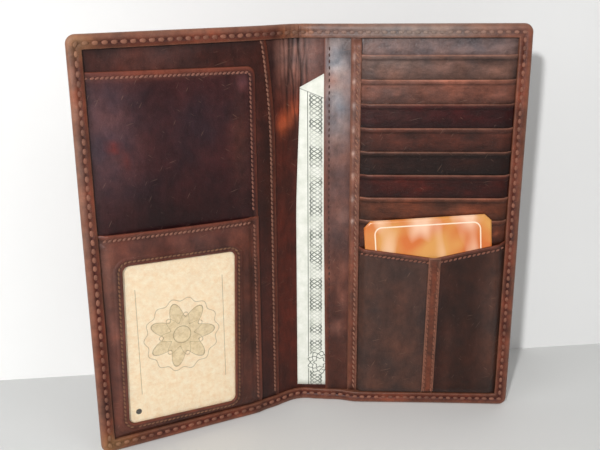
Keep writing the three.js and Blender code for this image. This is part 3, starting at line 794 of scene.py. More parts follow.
HEM_CHANNEL = 3.7
RIM_WIDTH = 1.5
RIM_STEPS = 8
BACK_GROOVE = ((5.0, 0.0), (4.3, 0.04), (HEM_CHANNEL, 0.2), (3.1, 0.04), (2.6, 0.0))
HEM_STEPS = (2.0, 2.6, 3.0, 3.35, 3.7, 4.05, 4.4, 4.9, 5.4, 5.75, 6.0, 6.12, HEM_WIDTH)
HEM_EDGE_ROUND = 0.45
CHANNEL_WIDTH = 0.55
CHANNEL_DEPTH = 0.3
OUTER_SWELL_AT = 2.3
INNER_SWELL_AT = 5.1
PALE_BAND_AT = 1.4
INNER_LOOP = 9.0
QUARTER = np.linspace(0, math.pi / 2, 9)
UPWARD = np.linspace(INNER_LOOP, HEIGHT - INNER_LOOP, 90)


def hem_across(side):
    """Places from the spine's middle to the far side, close together over the fold."""
    near_fold = SPINE_MIDDLE + side * np.arange(0, SPINE_MIDDLE + 6, 0.75)
    rest = np.linspace(near_fold[-1] + side * 2.0, along_wallet(side, COVER - INNER_LOOP), 32)
    return np.concatenate([near_fold, rest])


def hem_path(side):
    """Stations round a cover's free sides: along the bottom from the spine's middle, up, and back."""
    across = hem_across(side)
    path = [("low", s) for s in across]
    path += [("low corner", angle) for angle in QUARTER]
    path += [("side", z) for z in UPWARD]
    path += [("high corner", angle) for angle in QUARTER]
    path += [("high", s) for s in across[::-1]]
    return path


def inset(side, station, v):
    """The place on the flat wallet that lies v inside a station of the hem path."""
    kind, at = station
    if kind == "low":
        return at, v
    if kind == "high":
        return at, HEIGHT - v
    if kind == "side":
        return along_wallet(side, COVER - v), at
    radius = max(CORNER - v, 0.0)
    centre = max(CORNER, v)
    if kind == "low corner":
        return along_wallet(side, COVER - centre + math.sin(at) * radius), centre - math.cos(at) * radius
    return along_wallet(side, COVER - centre + math.cos(at) * radius), HEIGHT - centre + math.sin(at) * radius


def hem_profile(s, z):
    """The cross-section of the skin at a station, as pairs of inset and height."""
    top = float(hem_top(np.array(s), np.array(z)))
    profile = [(INNER_LOOP, BACK)]
    profile += [(v, BACK + depth) for v, depth in BACK_GROOVE]
    for angle in np.linspace(-math.pi / 2, math.pi / 2, RIM_STEPS + 1):
        lift = (top + BACK) / 2 + (top - BACK) / 2 * math.sin(angle)
        profile.append((RIM_WIDTH * (1 - math.cos(angle)), lift))
    for v in HEM_STEPS:
        swell = 0.16 * hump(v, OUTER_SWELL_AT, 0.9) + 0.1 * hump(v, INNER_SWELL_AT, 0.6)
        pressed = CHANNEL_DEPTH * hump(v, HEM_CHANNEL, CHANNEL_WIDTH)
        profile.append((v, top + swell - pressed - rounding(HEM_WIDTH - v, HEM_EDGE_ROUND)))
    return profile + [(HEM_WIDTH, INSIDE), (INNER_LOOP, INSIDE)]


def skin_colour(v, height, s, z, patches):
    """The hem is paler on its outer band, and dark red in the stitched channel as painted shade in that
    groove.
    """
    tint = np.tile(seen(108, 62, 48), (len(v), 1))
    on_front = (height > 0.2) & (v < HEM_WIDTH + 0.01)
    outer_band = 0.8 * (on_front * hump(v, PALE_BAND_AT, 1.3))[:, None]
    tint = tint * (1 - outer_band) + seen(126, 84, 70) * outer_band
    # Painted shade in the stitched channel.
    channel = 0.85 * (on_front * hump(v, HEM_CHANNEL, 1.05))[:, None]
    tint = tint * (1 - channel) + seen(70, 32, 25) * channel
    return lay_patches(tint, s, z, patches)


def skin(name, side, patches):
    """A strip with the hem's cross-section along the hem path, and two flat sheets within it."""
    path = hem_path(side)
    across = hem_across(side)
    rows = []
    for station in path:
        rim_s, rim_z = inset(side, station, 0.0)
        for v, lift in hem_profile(rim_s, rim_z):
            s, z = inset(side, station, v)
            rows.append((s, z, lift, v))
    depth = len(rows) // len(path)
    faces = grid_faces(len(path), depth, 0)
    faces.append(tuple(range(depth))[::-1])
    faces.append(tuple(range(len(rows) - depth, len(rows))))
    columns = len(across)
    back = len(rows)
    inner = back + len(UPWARD) * columns
    for row in range(len(UPWARD) - 1):
        here = row * columns
        above = here + columns
        faces.append((back + here, back + above, inner + above, inner + here))
    for first, lift in ((back, BACK), (inner, INSIDE)):
        rows += [(s, z, lift, INNER_LOOP + 1) for z in UPWARD for s in across]
        faces += grid_faces(len(UPWARD), columns, first)
    s, z, height, v = np.array(rows).T
    tint = skin_colour(v, height, s, z, patches)
    wear = 0.7 * hump(v, 0.0, 1.2) + 0.5 * hump(v, HEM_WIDTH, 0.5) * (height > 0.3)
    return finish_mesh(name, place(s, z, height), faces, np.stack([s, z], 1), tint, wear, OUTER)


# The creases of the spine's leather: place, width, depth and sway of each
CREASES = (
    (-3.0, 0.4, 0.2, 13.0), (-1.6, 0.5, 0.3, 15.0), (0.6, 0.35, 0.34, 11.0), (2.3, 0.6, 0.42, 17.0),
    (3.4, 0.3, 0.26, 8.0), (4.6, 0.4, 0.38, 9.0), (5.9, 0.3, 0.3, 13.0), (7.6, 0.6, 0.42, 12.0),
    (8.7, 0.3, 0.3, 10.0), (9.8, 0.4, 0.32, 16.0), (11.4, 0.4, 0.24, 9.0),
)
CREASE_HEM_Z = 187.5
HEM_TONE = seen(112, 66, 52)
RUBBED_ORANGE = seen(164, 96, 58)
skin_patches = [
    (-96.5, 187.5, 8.0, 6.0, seen(190, 142, 100), 0.85),
    (-97.5, 150.0, 3.0, 50.0, seen(164, 136, 122), 0.45),
    (-60.0, 189.0, 30.0, 2.5, seen(170, 128, 110), 0.2),
    (-2.0, 187.0, 2.5, 3.0, RUBBED_ORANGE, 0.7),
    (3.0, 185.5, 2.0, 2.0, RUBBED_ORANGE, 0.6),
    (11.0, 186.5, 2.2, 3.0, seen(170, 98, 58), 0.7),
    (-7.0, 186.0, 3.0, 4.0, seen(70, 34, 28), 0.6),
    (-95.0, 4.0, 12.0, 6.0, seen(156, 120, 80), 0.6),
    # Painted sheen: greyish patches along the top of the right cover's hem.
    (SPINE + 42.0, 188.0, 40.0, 6.0, seen(158, 142, 132), 0.85),
    (SPINE + 9.0, 187.0, 12.0, 6.0, seen(140, 112, 102), 0.6),
    (SPINE + 96.0, 150.0, 4.0, 40.0, seen(132, 84, 68), 0.4),
    (SPINE + 96.0, 40.0, 4.0, 36.0, seen(88, 52, 42), 0.4),
]
# Each crease gets a dark spot in the hem, painted crease shade, and a pale spot beside it, a painted
# highlight.
for at, width, depth, sway in CREASES:
    skin_patches.append((at, CREASE_HEM_Z, 0.8, 3.5, seen(58, 28, 22), 1.5 * depth))
    skin_patches.append((at + 0.9, CREASE_HEM_Z, 0.6, 3.5, seen(196, 140, 104), 1.2 * depth))
for s_range, z_range, count in (
    ((-COVER, -COVER + 6), (5, 185), 26),
    ((-COVER, 0), (HEIGHT - 6, HEIGHT), 16),
    ((-COVER, 0), (0, 6), 12),
    ((SPINE + COVER - 6, SPINE + COVER), (5, 185), 26),
    ((SPINE, SPINE + COVER), (0, 6), 16),
):
    skin_patches += blotches(HEM_TONE, s_range, z_range, count, 3.0, 3.0, 0.5)
dress_bent(skin("skin_left", -1, skin_patches), -1, "outer_leather", "left_outer_cover", "spine_outer")
dress_bent(skin("skin_right", 1, skin_patches), 1, "outer_leather", "right_outer_cover")


# Lining: one sheet, seen along the spine, with upright creases near its top

CREASE_SHADE = 2.2
CREASE_SWAY = 0.7
CREASE_RIPPLE = 0.25
RIPPLE_SHARE = 0.31
CREASED_MIDDLE = SPINE_MIDDLE - 2
CREASED_Z = 135.0
CREASED_RAMP = 35.0
LINING_SEAM = COVER - SEAM_INSET - 1
ORANGE = seen(196, 96, 62)


def lining(name, side):
    near = SPINE_MIDDLE + side * np.arange(0, 20, 0.5)
    far = np.linspace(near[-1] + side * 4, along_wallet(side, LINING_SEAM), 16)
    s, z = np.meshgrid(np.concatenate([near, far]), np.linspace(SEAM_INSET, SEAM_TOP, 64))
    creases = np.zeros(s.shape)
    for at, width, depth, sway in CREASES:
        ripple = CREASE_RIPPLE * np.sin(z / (RIPPLE_SHARE * sway))
        middle = at + CREASE_SWAY * np.sin(z / sway + at) + ripple
        creases = creases - depth * hump(s, middle, width)
    strength = 0.9 * smooth((z - CREASED_Z) / CREASED_RAMP) + 0.14
    folds = hump(s, CREASED_MIDDLE, 8.0) * strength * creases
    patches = [
        (-1.5, 144.0, 3.0, 3.6, ORANGE, 0.95),
        (1.6, 147.5, 3.2, 4.2, ORANGE, 0.95),
        (4.6, 151.0, 3.0, 4.0, ORANGE, 0.75),
        # Painted highlight, pale over the top of the creases.
        (CREASED_MIDDLE, 178.0, 12.0, 14.0, seen(168, 128, 116), 0.85),
        (SPINE_MIDDLE, 60.0, 9.0, 50.0, seen(82, 42, 36), 0.5),
        (-7.0, 172.0, 3.0, 22.0, seen(50, 33, 29), 0.85),
    ]
    # Painted shade darkens the crease valleys.
    shade = np.clip(1 + CREASE_SHADE * folds, 0.25, 1.0)
    return sheet(
        name, side, from_fold(side, s), z, -LINING, folds - 0.05, LINING_LEATHER, seen(88, 48, 41),
        patches=patches, shade=shade,
    )


dress_bent(lining("lining_left", -1), -1, "lining_leather", "left_lining", "spine_lining")
dress_bent(lining("lining_right", 1), 1, "lining_leather", "right_lining")


# Stitches: rows of small rounded threads

STITCH_RINGS = 6
STITCH_AROUND = 8
ROW_LOW = 8.0
ROW_HIGH = 181.0
ROW_FAR = 91.0
HEM_THREAD = seen(150, 98, 78)
stitch_rows = {"left_cover": [], "right_cover": [], "left_hem": [], "right_hem": []}


def along_line(line, pitch, trim):
    """Even places along a line of straight pieces, each with the line's direction there."""
    line = np.array(line, float)
    pieces = np.diff(line, axis=0)
    lengths = np.hypot(pieces[:, 0], pieces[:, 1])
    reach = np.concatenate([[0], np.cumsum(lengths)])
    count = max(2, int((reach[-1] - 2 * trim) / pitch))
    at = np.linspace(trim, reach[-1] - trim, count)
    s = np.interp(at, reach, line[:, 0])
    z = np.interp(at, reach, line[:, 1])
    index = np.clip(np.searchsorted(reach, at, "right") - 1, 0, len(pieces) - 1)
    direction = np.arctan2(pieces[index, 1], pieces[index, 0])
    return s, z, direction


def sew(
    row, line, floor, colour,
    pitch=2.0, length=2.15, width=1.15, rise=0.34, lean=0.35, trim=2.0, patches=(),
):
    """Adds a row of stitches along a line; floor gives the surface under each."""
    s, z, direction = along_line(line, pitch, trim)
    tones = patched(colour, s, z, patches)
    for at_s, at_z, angle, tone in zip(s, z, direction, tones):
        turned = angle + lean + random.normal(0, 0.06)
        size = length * random.uniform(0.9, 1.08)
        shade = random.uniform(0.8, 1.12)
        base = float(floor(np.array(at_s), np.array(at_z)))
        stitch_rows[row].append((at_s, at_z, turned, size, width, rise, base, tone * shade))


def stitch_mesh(name, row):
    tilt = np.repeat(np.linspace(-math.pi / 2, math.pi / 2, STITCH_RINGS), STITCH_AROUND)
    angle = np.tile(np.arange(STITCH_AROUND) * 2 * math.pi / STITCH_AROUND, STITCH_RINGS)
    places = []
    colours = []
    faces = []
    for at_s, at_z, turned, size, width, rise, base, colour in stitch_rows[row]:
        faces += ring_faces(STITCH_RINGS, STITCH_AROUND, len(places) * len(tilt))
        forward = np.sin(tilt) * size / 2
        sideways = np.cos(tilt) * np.cos(angle) * width / 2
        s = at_s + forward * math.cos(turned) - sideways * math.sin(turned)
        z = at_z + forward * math.sin(turned) + sideways * math.cos(turned)
        lift = base + rise * (0.2 + 0.8 * np.cos(tilt) * np.sin(angle))
        places.append(np.stack([s, z, lift], 1))
        colours.append(np.tile(colour, (len(tilt), 1)))
    flat = np.concatenate(places)
    points = place(flat[:, 0], flat[:, 1], flat[:, 2])
    tint = np.concatenate(colours)
    return finish_mesh(name, points, faces, flat[:, :2], tint, np.zeros(len(flat)), THREAD)


def on_layer(side, lift, sunk):
    """The floor of stitches that are sunk into a layer's upper face."""

    def floor(s, z):
        return level(side, from_fold(side, s), z, lift) - sunk

    return floor


def hem_floor(s, z):
    return hem_top(s, z) - 0.2


def back_floor(s, z):
    return BACK + 0.12


def sew_hem(side, row, floor, pitch, length, width, rise):
    line = [inset(side, station, HEM_CHANNEL) for station in hem_path(side)]
    # The hem's threads take the hem's patches as well, painted sheen and painted crease shade among them.
    sew(row, line, floor, HEM_THREAD, pitch, length, width, rise, lean=0.0, patches=skin_patches)


sew_hem(-1, "left_hem", back_floor, 3.9, 2.9, 1.1, -0.32)
sew_hem(1, "right_hem", back_floor, 3.6, 2.6, 1.1, -0.32)
sew_hem(-1, "left_hem", hem_floor, 3.9, 2.9, 2.1, 0.5)
sew_hem(1, "right_hem", hem_floor, 3.6, 2.6, 1.8, 0.45)


# Left cover: long pocket, slip pocket, windowed pocket with its film and card

POCKET_ROW = 2.5
POCKET_ROW_LOW = 7.0
POCKET_ROW_HIGH = 184.0
SLIP_ROW = 2.5
SLIP_LIP = 2.6
SLANT_FROM_Z = 60.0
SLANT_RAMP = 100.0
SLIP_ROW_LOW = 107.0
FRAME_ROW = 2.4
FRAME_ROW_NEAR = 20.0
FRAME_ROW_HIGH = 101.0
WINDOW_ROW = 1.9
WELT_EDGE = 3.6
WELT_SLOPE = 0.6
GAPE_REACH = 9.0
WINDOW_CENTRE = (WINDOW_NEAR + WINDOW_WIDTH / 2, WINDOW_BASE + WINDOW_HEIGHT / 2)
WINDOW_FAR = WINDOW_NEAR + WINDOW_WIDTH
WINDOW_TURN = math.atan(SLANT)
LOOP_SIDE = 40
LOOP_ARC = 7
NEAR_WINDOW = (0.0, 0.12, 0.3, 0.6, 1.0, 1.5, 2.0, 2.5, 3.0, 3.5, 3.9, 4.2, 4.6, 5.2, 6.0)
BETWEEN = (0.2, 0.4, 0.6, 0.8)
NEAR_EDGE = (4.0, 3.2, 2.7, 2.3, 1.9, 1.4, 0.9, 0.5, 0.25, 0.1, 0.0)


def left_pocket():
    z_line = stations(SEAM_INSET, SEAM_TOP, 2.5)
    share = np.clip((z_line - POCKET_CURVE_Z) / (HEIGHT - POCKET_CURVE_Z), 0, 1)
    near_line = POCKET_EDGE + POCKET_EDGE_DROP * share * share
    edge, z = np.meshgrid(stations(0.0, SEWN_FAR - POCKET_EDGE, fine="low"), z_line)
    near = near_line[:, None]
    u = near + edge * (SEWN_FAR - near) / (SEWN_FAR - POCKET_EDGE)
    under = level(-1, u, z, POCKET_LIFT)
    over = level(-1, u, z, POCKET_TOP) + edge_relief(edge, POCKET_ROW, 0.16)
    colour = seen(72, 46, 42)
    patches = [
        (-66.0, 180.0, 20.0, 6.0, seen(98, 70, 66), 0.7),
        (-30.0, 180.0, 9.0, 6.0, seen(50, 32, 30), 0.6),
        (-10.0, 120.0, 4.0, 60.0, seen(70, 40, 34), 0.6),
    ]
    patches += blotches(colour, (-90, -20), (176, 183), 14, 4.0, 2.0, 0.6)
    patches += blotches(colour, (-16, -9), (10, 170), 18, 1.5, 6.0, 0.5)
    sewn = zip(near_line, z_line)
    line = [(-at - POCKET_ROW, up) for at, up in sewn if POCKET_ROW_LOW < up < POCKET_ROW_HIGH]
    floor = on_layer(-1, POCKET_TOP, 0.12)
    sew("left_cover", line, floor, seen(146, 100, 82), pitch=2.1, length=2.3, lean=0.3, trim=0.8)
    return sheet(
        "left_pocket", -1, u, z, under, over, POCKET, colour,
        edge=edge, worn_reach=1.3, patches=patches, row=POCKET_ROW,
    )


def slip_corner_line(radius):
    """The rounded upper corner of the slip pocket's free edge, or of its row of stitches."""
    corner_u = SLIP_EDGE + SLIP_CORNER
    corner_z = slanted(SLIP_EDGE, SLIP_TOP_Z) - SLIP_CORNER
    return [(corner_u - radius * math.cos(angle), corner_z + radius * math.sin(angle)) for angle in QUARTER]


def slip_pocket():
    z_line = stations(SEWN_LOW, SLIP_TOP_Z, 2.5, fine="high")
    offset, z_flat = np.meshgrid(stations(0.0, SEWN_FAR - SLIP_EDGE, 2.5, fine="low"), z_line)
    in_corner = np.clip((z_flat - SLIP_TOP_Z + SLIP_CORNER) / SLIP_CORNER, 0, 1)
    near = SLIP_EDGE + SLIP_CORNER * (1 - np.sqrt(1 - in_corner * in_corner))
    u = near + offset * (SEWN_FAR - near) / (SEWN_FAR - SLIP_EDGE)
    z = z_flat + SLANT * (u - PANEL_MIDDLE) * smooth((z_flat - SLANT_FROM_Z) / SLANT_RAMP)
    free_edge = [(SLIP_EDGE, 0.0)] + slip_corner_line(SLIP_CORNER)[:-1]
    free_edge += [(at, slanted(at, SLIP_TOP_Z)) for at in (SLIP_EDGE + SLIP_CORNER, COVER)]
    edge = distance_to(u, z, free_edge)
    from_top = slanted(u, SLIP_TOP_Z) - z
    under = level(-1, u, z, SLIP_LIFT)
    lip = 0.12 * hump(from_top, SLIP_LIP, 0.6)
    over = level(-1, u, z, SLIP_TOP) + edge_relief(edge, 2.4, 0.2, 0.05) - lip
    patches = [
        (-55.0, slanted(55, SLIP_TOP_Z) - 1.2, 60.0, 2.0, seen(142, 82, 66), 0.85),
        # Painted sheen, pale mauve on the pocket's left.
        (-84.0, 150.0, 13.0, 28.0, seen(102, 78, 82), 0.8),
        # Painted shadow above the windowed pocket's mouth.
        (-56.0, 110.0, 40.0, 9.0, seen(44, 29, 27), 0.7),
        (-82.0, 143.0, 2.6, 2.2, seen(142, 58, 48), 0.8),
        (-77.0, 137.0, 2.0, 4.0, seen(110, 52, 44), 0.5),
        # Painted sheen, pale mauve in the pocket's middle.
        (-44.0, 150.0, 20.0, 16.0, seen(74, 52, 55), 0.7),
        (-22.5, 166.0, 2.6, 3.2, seen(150, 92, 92), 0.6),
        (-24.0, 140.0, 5.0, 22.0, seen(96, 62, 54), 0.5),
    ]
    sewn = [(SLIP_EDGE + SLIP_ROW, SLIP_ROW_LOW)] + slip_corner_line(SLIP_CORNER - SLIP_ROW)
    sewn.append((ROW_FAR, slanted(ROW_FAR, SLIP_TOP_Z) - SLIP_ROW))
    line = [(-at, up) for at, up in sewn]
    sew("left_cover", line, on_layer(-1, SLIP_TOP, 0.22), seen(144, 95, 80), rise=0.27, lean=0.4, trim=0.5)
    return sheet(
        "slip_pocket", -1, u, z, under, over, POCKET, seen(63, 41, 42),
        edge=edge, patches=patches, row=SLIP_ROW,
    )


def rounded_loop(centre, half, radius, turn):
    """A closed loop round a rectangle with round corners; all loops have the same number of points."""
    arcs = []
    for index, corner in enumerate(((1, -1), (1, 1), (-1, 1), (-1, -1))):
        angles = (index - 1) * math.pi / 2 + np.linspace(0, math.pi / 2, LOOP_ARC)
        middle = np.array(corner) * (np.array(half) - radius)
        arcs.append(middle + radius * np.stack([np.cos(angles), np.sin(angles)], 1))
    points = []
    for arc, following in zip(arcs, arcs[1:] + arcs[:1]):
        points.append(arc)
        points.append(np.linspace(arc[-1], following[0], LOOP_SIDE + 1)[1:-1])
    across, up = np.concatenate(points).T
    u = centre[0] + across * math.cos(turn) - up * math.sin(turn)
    z = centre[1] + across * math.sin(turn) + up * math.cos(turn)
    return np.stack([u, z], 1)


def window_loop(grow):
    half = (WINDOW_WIDTH / 2 + grow, WINDOW_HEIGHT / 2 + grow)
    return rounded_loop(WINDOW_CENTRE, half, WINDOW_CORNER + grow, WINDOW_TURN)


def frame_loop(shrink):
    near = SLIP_EDGE + shrink
    high = FRAME_TOP_Z - shrink
    centre = ((near + SEWN_FAR) / 2, (SEWN_LOW + high) / 2)
    loop = rounded_loop(centre, ((SEWN_FAR - near) / 2, (high - SEWN_LOW) / 2), 0.0, 0.0)
    loop[:, 1] += SLANT * (loop[:, 0] - PANEL_MIDDLE) * np.clip(loop[:, 1] / FRAME_TOP_Z, 0, 1)
    return loop


def frame_gape(u, z):
    """The mouth of the windowed pocket stands off a little between its sewn ends."""
    sewn = SLIP_EDGE + WELT_WIDTH
    across = np.sin(np.clip((u - sewn) / (MOUTH - sewn), 0, 1) * math.pi)
    return FRAME_GAPE * across * np.exp(-np.clip(slanted(u, FRAME_TOP_Z) - z, 0, HEIGHT) / GAPE_REACH)


def on_frame(sunk):
    """The floor of stitches that are sunk into the window frame's upper face."""

    def floor(s, z):
        return level(-1, -s, z, FRAME_TOP) + frame_gape(-s, z) - sunk

    return floor


def window_frame():
    """Closed loops from the window's edge out to the frame's edge, in front and behind."""
    inner = [window_loop(grow) for grow in NEAR_WINDOW]
    outer = [frame_loop(shrink) for shrink in NEAR_EDGE]
    between = [inner[-1] * (1 - share) + outer[0] * share for share in BETWEEN]
    loops = inner + between + outer
    around = len(inner[0])
    u, z = np.concatenate(loops).T
    count = len(u)
    free_edge = [(SLIP_EDGE, 0.0)] + [(at, slanted(at, FRAME_TOP_Z)) for at in (SLIP_EDGE, COVER)]
    edge = distance_to(u, z, free_edge)
    rim = distance_to(u, z, np.concatenate([inner[0], inner[0][:1]]))
    welt = WELT_RISE * (1 - smooth((rim - WELT_EDGE) / WELT_SLOPE)) - 0.25 * hump(rim, WINDOW_ROW, 0.45)
    relief = edge_relief(edge, FRAME_ROW, 0.14) + edge_relief(rim, WINDOW_ROW, 0.0)
    gape = frame_gape(u, z)
    over = level(-1, u, z, FRAME_TOP) + gape + welt + relief
    under = level(-1, u, z, FRAME_LIFT) + gape
    faces = ring_faces(len(loops), around, 0)
    faces += turned_over(ring_faces(len(loops), around, count))
    faces += band_faces(list(range(around)), count)
    faces += turned_over(band_faces(list(range(count - around, count)), count))
    patches = [
        (-24.0, 50.0, 6.0, 40.0, seen(80, 50, 42), 0.6),
        (-55.0, 98.5, 40.0, 4.0, seen(118, 78, 70), 0.6),
        (-36.0, 95.0, 3.0, 8.0, seen(72, 44, 40), 0.6),
        (-63.0, 94.0, 5.0, 7.0, seen(70, 42, 38), 0.6),
        (-88.0, 22.0, 4.0, 12.0, seen(84, 54, 48), 0.4),
        (-60.0, 8.5, 30.0, 3.0, seen(70, 42, 36), 0.5),
    ]
    patches += blotches(seen(100, 64, 56), (-92, -17), (90, 103), 16, 3.5, 3.5, 0.55)
    patches += blotches(seen(116, 78, 68), (-92, -84), (8, 90), 16, 2.5, 6.0, 0.55)
    patches += blotches(seen(90, 58, 50), (-29, -17), (8, 90), 16, 2.5, 6.0, 0.55)
    patches.append((-90.0, 88.0, 4.0, 16.0, seen(132, 92, 80), 0.7))
    # Painted shade beside the hem and in the grooves of both rows of stitches.
    shade = hem_shade(np.minimum(MOUTH - u, z - HEM_WIDTH))
    shade = shade * row_shade(edge, FRAME_ROW) * row_shade(rim, WINDOW_ROW)
    tint = patched(seen(104, 67, 58), -u, z, patches) * shade[:, None]
    worn = np.maximum(np.exp(-edge / 0.9), 0.8 * np.exp(-rim / 0.7))
    window_line = [(-at, up) for at, up in window_loop(WINDOW_ROW)]
    window_line.append(window_line[0])
    sew("left_cover", window_line, on_frame(-0.02), seen(136, 95, 70), length=2.0, width=1.05)
    side_line = [(-SLIP_EDGE - FRAME_ROW, up) for up in (ROW_LOW, FRAME_ROW_HIGH)]
    sew("left_cover", side_line, on_frame(0.1), seen(142, 95, 78))
    top_line = [(-at, slanted(at, FRAME_TOP_Z) - FRAME_ROW) for at in (FRAME_ROW_NEAR, ROW_FAR)]
    sew("left_cover", top_line, on_frame(0.1), seen(146, 99, 82), lean=0.5)
    points = np.concatenate([place(-u, z, over), place(-u, z, under)])
    flat = np.tile(np.stack([-u, z], 1), (2, 1))
    return finish_mesh(
        "window_frame_leather", points, faces, flat, np.tile(tint, (2, 1)), np.tile(worn, 2), POCKET,
    )


def flat_card(name, lap, low, high, lift, thickness, material):
    """A thin flat card behind the window, wider than it by a lap on both sides."""
    columns = np.linspace(WINDOW_NEAR - lap, WINDOW_FAR + lap, 30)
    u, z = np.meshgrid(columns, np.linspace(low, high, 40))
    return sheet(name, -1, u, z, lift, lift + thickness, material, WHITE)


dress(left_pocket(), "left_cover", "left_pocket_panel")
dress(slip_pocket(), "left_cover", "slip_pocket_panel")
dress(window_frame(), "left_cover", "window_frame")
pane_low = WINDOW_BASE - PANE_LAP_LOW
pane_high = WINDOW_BASE + WINDOW_HEIGHT + PANE_LAP
film = flat_card("window_film", PANE_LAP, pane_low, pane_high, PANE_LIFT, PANE_FILM, FILM)
dress(film, "left_cover", "window_pane")
insert_high = INSERT_LOW + INSERT_LENGTH
insert = flat_card("insert_paper", INSERT_LAP, INSERT_LOW, insert_high, INSERT_LIFT, INSERT_BOARD, INSERT)
dress(insert, "insert", "insert_card")


# Right cover: note pocket, card panel with its binding, card slots, and the front pocket

NOTE_ROW = 2.4
NOTE_ROW_LOW = 25.0
NOTE_LEAN_REACH = 20.0
BINDING_ROW = 1.7
BINDING_DENT = 0.14
SLOT_TAIL = 1.9 * SLOT_PITCH
FRONT_ROW = 2.6
FRONT_RUN = 80.0
STRIP_ROW = 1.1
STRIP_ROW_HIGH = 77.0
BINDING_STEPS = (0, 0.08, 0.2, 0.4, 0.7, 1.1, 1.5, 2.0, 2.5, 3.0, 3.4, 3.8, 4.2, 4.45, 4.62, 4.72, 4.8)
STRIP_STEPS = (-1, -0.97, -0.92, -0.85, -0.7, -0.5, -0.25, 0, 0.25, 0.5, 0.7, 0.85, 0.92, 0.97, 1)
STRIP_TOP_Z = FRONT_DIP_Z + 0.4


def note_lean(z):
    """The note pocket's edge leans outward towards the bottom."""
    return NOTE_POCKET_LEAN * np.clip((NOTE_POCKET_LEAN_Z - z) / NOTE_POCKET_LEAN_Z, 0, 1)


def note_pocket():
    u, z = np.meshgrid(stations(NOTE_POCKET_EDGE, SEWN_FAR, fine="low"), stations(SEAM_INSET, SEAM_TOP))
    u = u + note_lean(z) * np.clip(1 - (u - NOTE_POCKET_EDGE) / NOTE_LEAN_REACH, 0, 1)
    free_edge = [(NOTE_POCKET_EDGE + note_lean(up), up) for up in (0.0, NOTE_POCKET_LEAN_Z, HEIGHT)]
    edge = distance_to(u, z, free_edge)
    under = level(1, u, z, NOTE_POCKET_LIFT)
    over = level(1, u, z, NOTE_POCKET_TOP) + edge_relief(edge, NOTE_ROW, 0.12)
    patches = [
        # Painted sheen over the middle and upper part.
        (SPINE + 10.0, 120.0, 10.0, 40.0, seen(124, 94, 88), 0.7),
        # Darker towards the bottom.
        (SPINE + 10.0, 20.0, 10.0, 50.0, seen(72, 45, 39), 0.7),
        # Painted highlights near the top.
        (SPINE + 10.5, 164.0, 7.0, 24.0, seen(180, 176, 176), 0.95),
        (SPINE + 9.0, 170.0, 3.0, 3.0, seen(222, 212, 208), 0.7),
        (SPINE + 12.5, 164.0, 1.6, 3.4, seen(206, 196, 192), 0.5),
        (SPINE + 14.0, 100.0, 3.0, 4.0, seen(140, 122, 118), 0.5),
    ]
    patches += blotches(seen(104, 74, 66), (SPINE + 5, SPINE + 16), (10, 180), 34, 2.5, 4.0, 0.5)
    sewn = (NOTE_ROW_LOW, NOTE_POCKET_LEAN_Z, ROW_HIGH)
    line = [(SPINE + NOTE_POCKET_EDGE + note_lean(up) + NOTE_ROW, up) for up in sewn]
    floor = on_layer(1, NOTE_POCKET_TOP, 0.1)
    sew("right_cover", line, floor, seen(84, 56, 50), pitch=2.8, length=1.8, width=0.7, rise=0.24, lean=0.0)
    return sheet(
        "note_pocket", 1, u, z, under, over, POCKET, seen(96, 64, 56),
        edge=edge, worn_reach=0.8, patches=patches,
    )


def card_panel():
    u, z = np.meshgrid(stations(CARD_PANEL_EDGE + 0.75, SEWN_FAR), stations(SEAM_INSET, SEAM_TOP))
    under = level(1, u, z, CARD_PANEL_LIFT)
    over = level(1, u, z, CARD_PANEL_TOP)
    # Its pale greyish colour holds painted sheen.
    return sheet("card_panel_leather", 1, u, z, under, over, SLOT, seen(126, 106, 102))


def binding_height(u, z):
    inward = np.clip((u - CARD_PANEL_EDGE) / BINDING_FOLD, 0, 1)
    fold = np.sqrt(1 - (1 - inward) ** 2)
    return squeeze(u, z) * (CARD_PANEL_LIFT + (BINDING_TOP - CARD_PANEL_LIFT) * fold)


def binding_floor(s, z):
    return binding_height(s - SPINE, z) - 0.08


def binding():
    u, z = np.meshgrid(CARD_PANEL_EDGE + np.array(BINDING_STEPS), stations(SEAM_INSET, SEAM_TOP, 1.5))
    edge = BINDING_EDGE - u
    under = squeeze(u, z) * (CARD_PANEL_LIFT - 0.1)
    dents = BINDING_DENT * np.sin((z - SLOT_TOP_Z) * 2 * math.pi / SLOT_PITCH) * (z < SLOT_TOP_Z)
    over = binding_height(u, z) + edge_relief(edge, BINDING_ROW, 0.14) + dents * smooth(edge + 0.2)
    patches = [
        (SPINE + 19.0, 150.0, 6.0, 50.0, seen(142, 106, 94), 0.7),
        (SPINE + 19.0, 20.0, 6.0, 50.0, seen(92, 52, 42), 0.7),
        # Painted shade along the binding's edge, where the slots go under it.
        (SPINE + BINDING_EDGE, 95.0, 0.7, 120.0, seen(60, 32, 28), 0.7),
    ]
    for index in range(SLOT_COUNT):
        junction = SLOT_TOP_Z - index * SLOT_PITCH
        # Painted highlights: pale dots at the slot junctions.
        patches.append((SPINE + CARD_PANEL_EDGE + 1.4, junction - 1.0, 0.8, 1.1, seen(214, 190, 178), 0.75))
        patches.append((SPINE + CARD_PANEL_EDGE + 3.0, junction - 6.5, 1.5, 2.4, seen(84, 48, 40), 0.6))
    line = [(SPINE + BINDING_EDGE - BINDING_ROW, up) for up in (ROW_LOW, ROW_HIGH)]
    colour = seen(156, 110, 90)
    sew("right_cover", line, binding_floor, colour, pitch=2.6, length=2.4, width=0.9, rise=0.36, lean=0.45)
    return sheet(
        "binding", 1, u, z, under, over, TRIM, seen(118, 74, 60),
        edge=np.minimum(edge, u - CARD_PANEL_EDGE), worn_reach=0.7, patches=patches,
    )


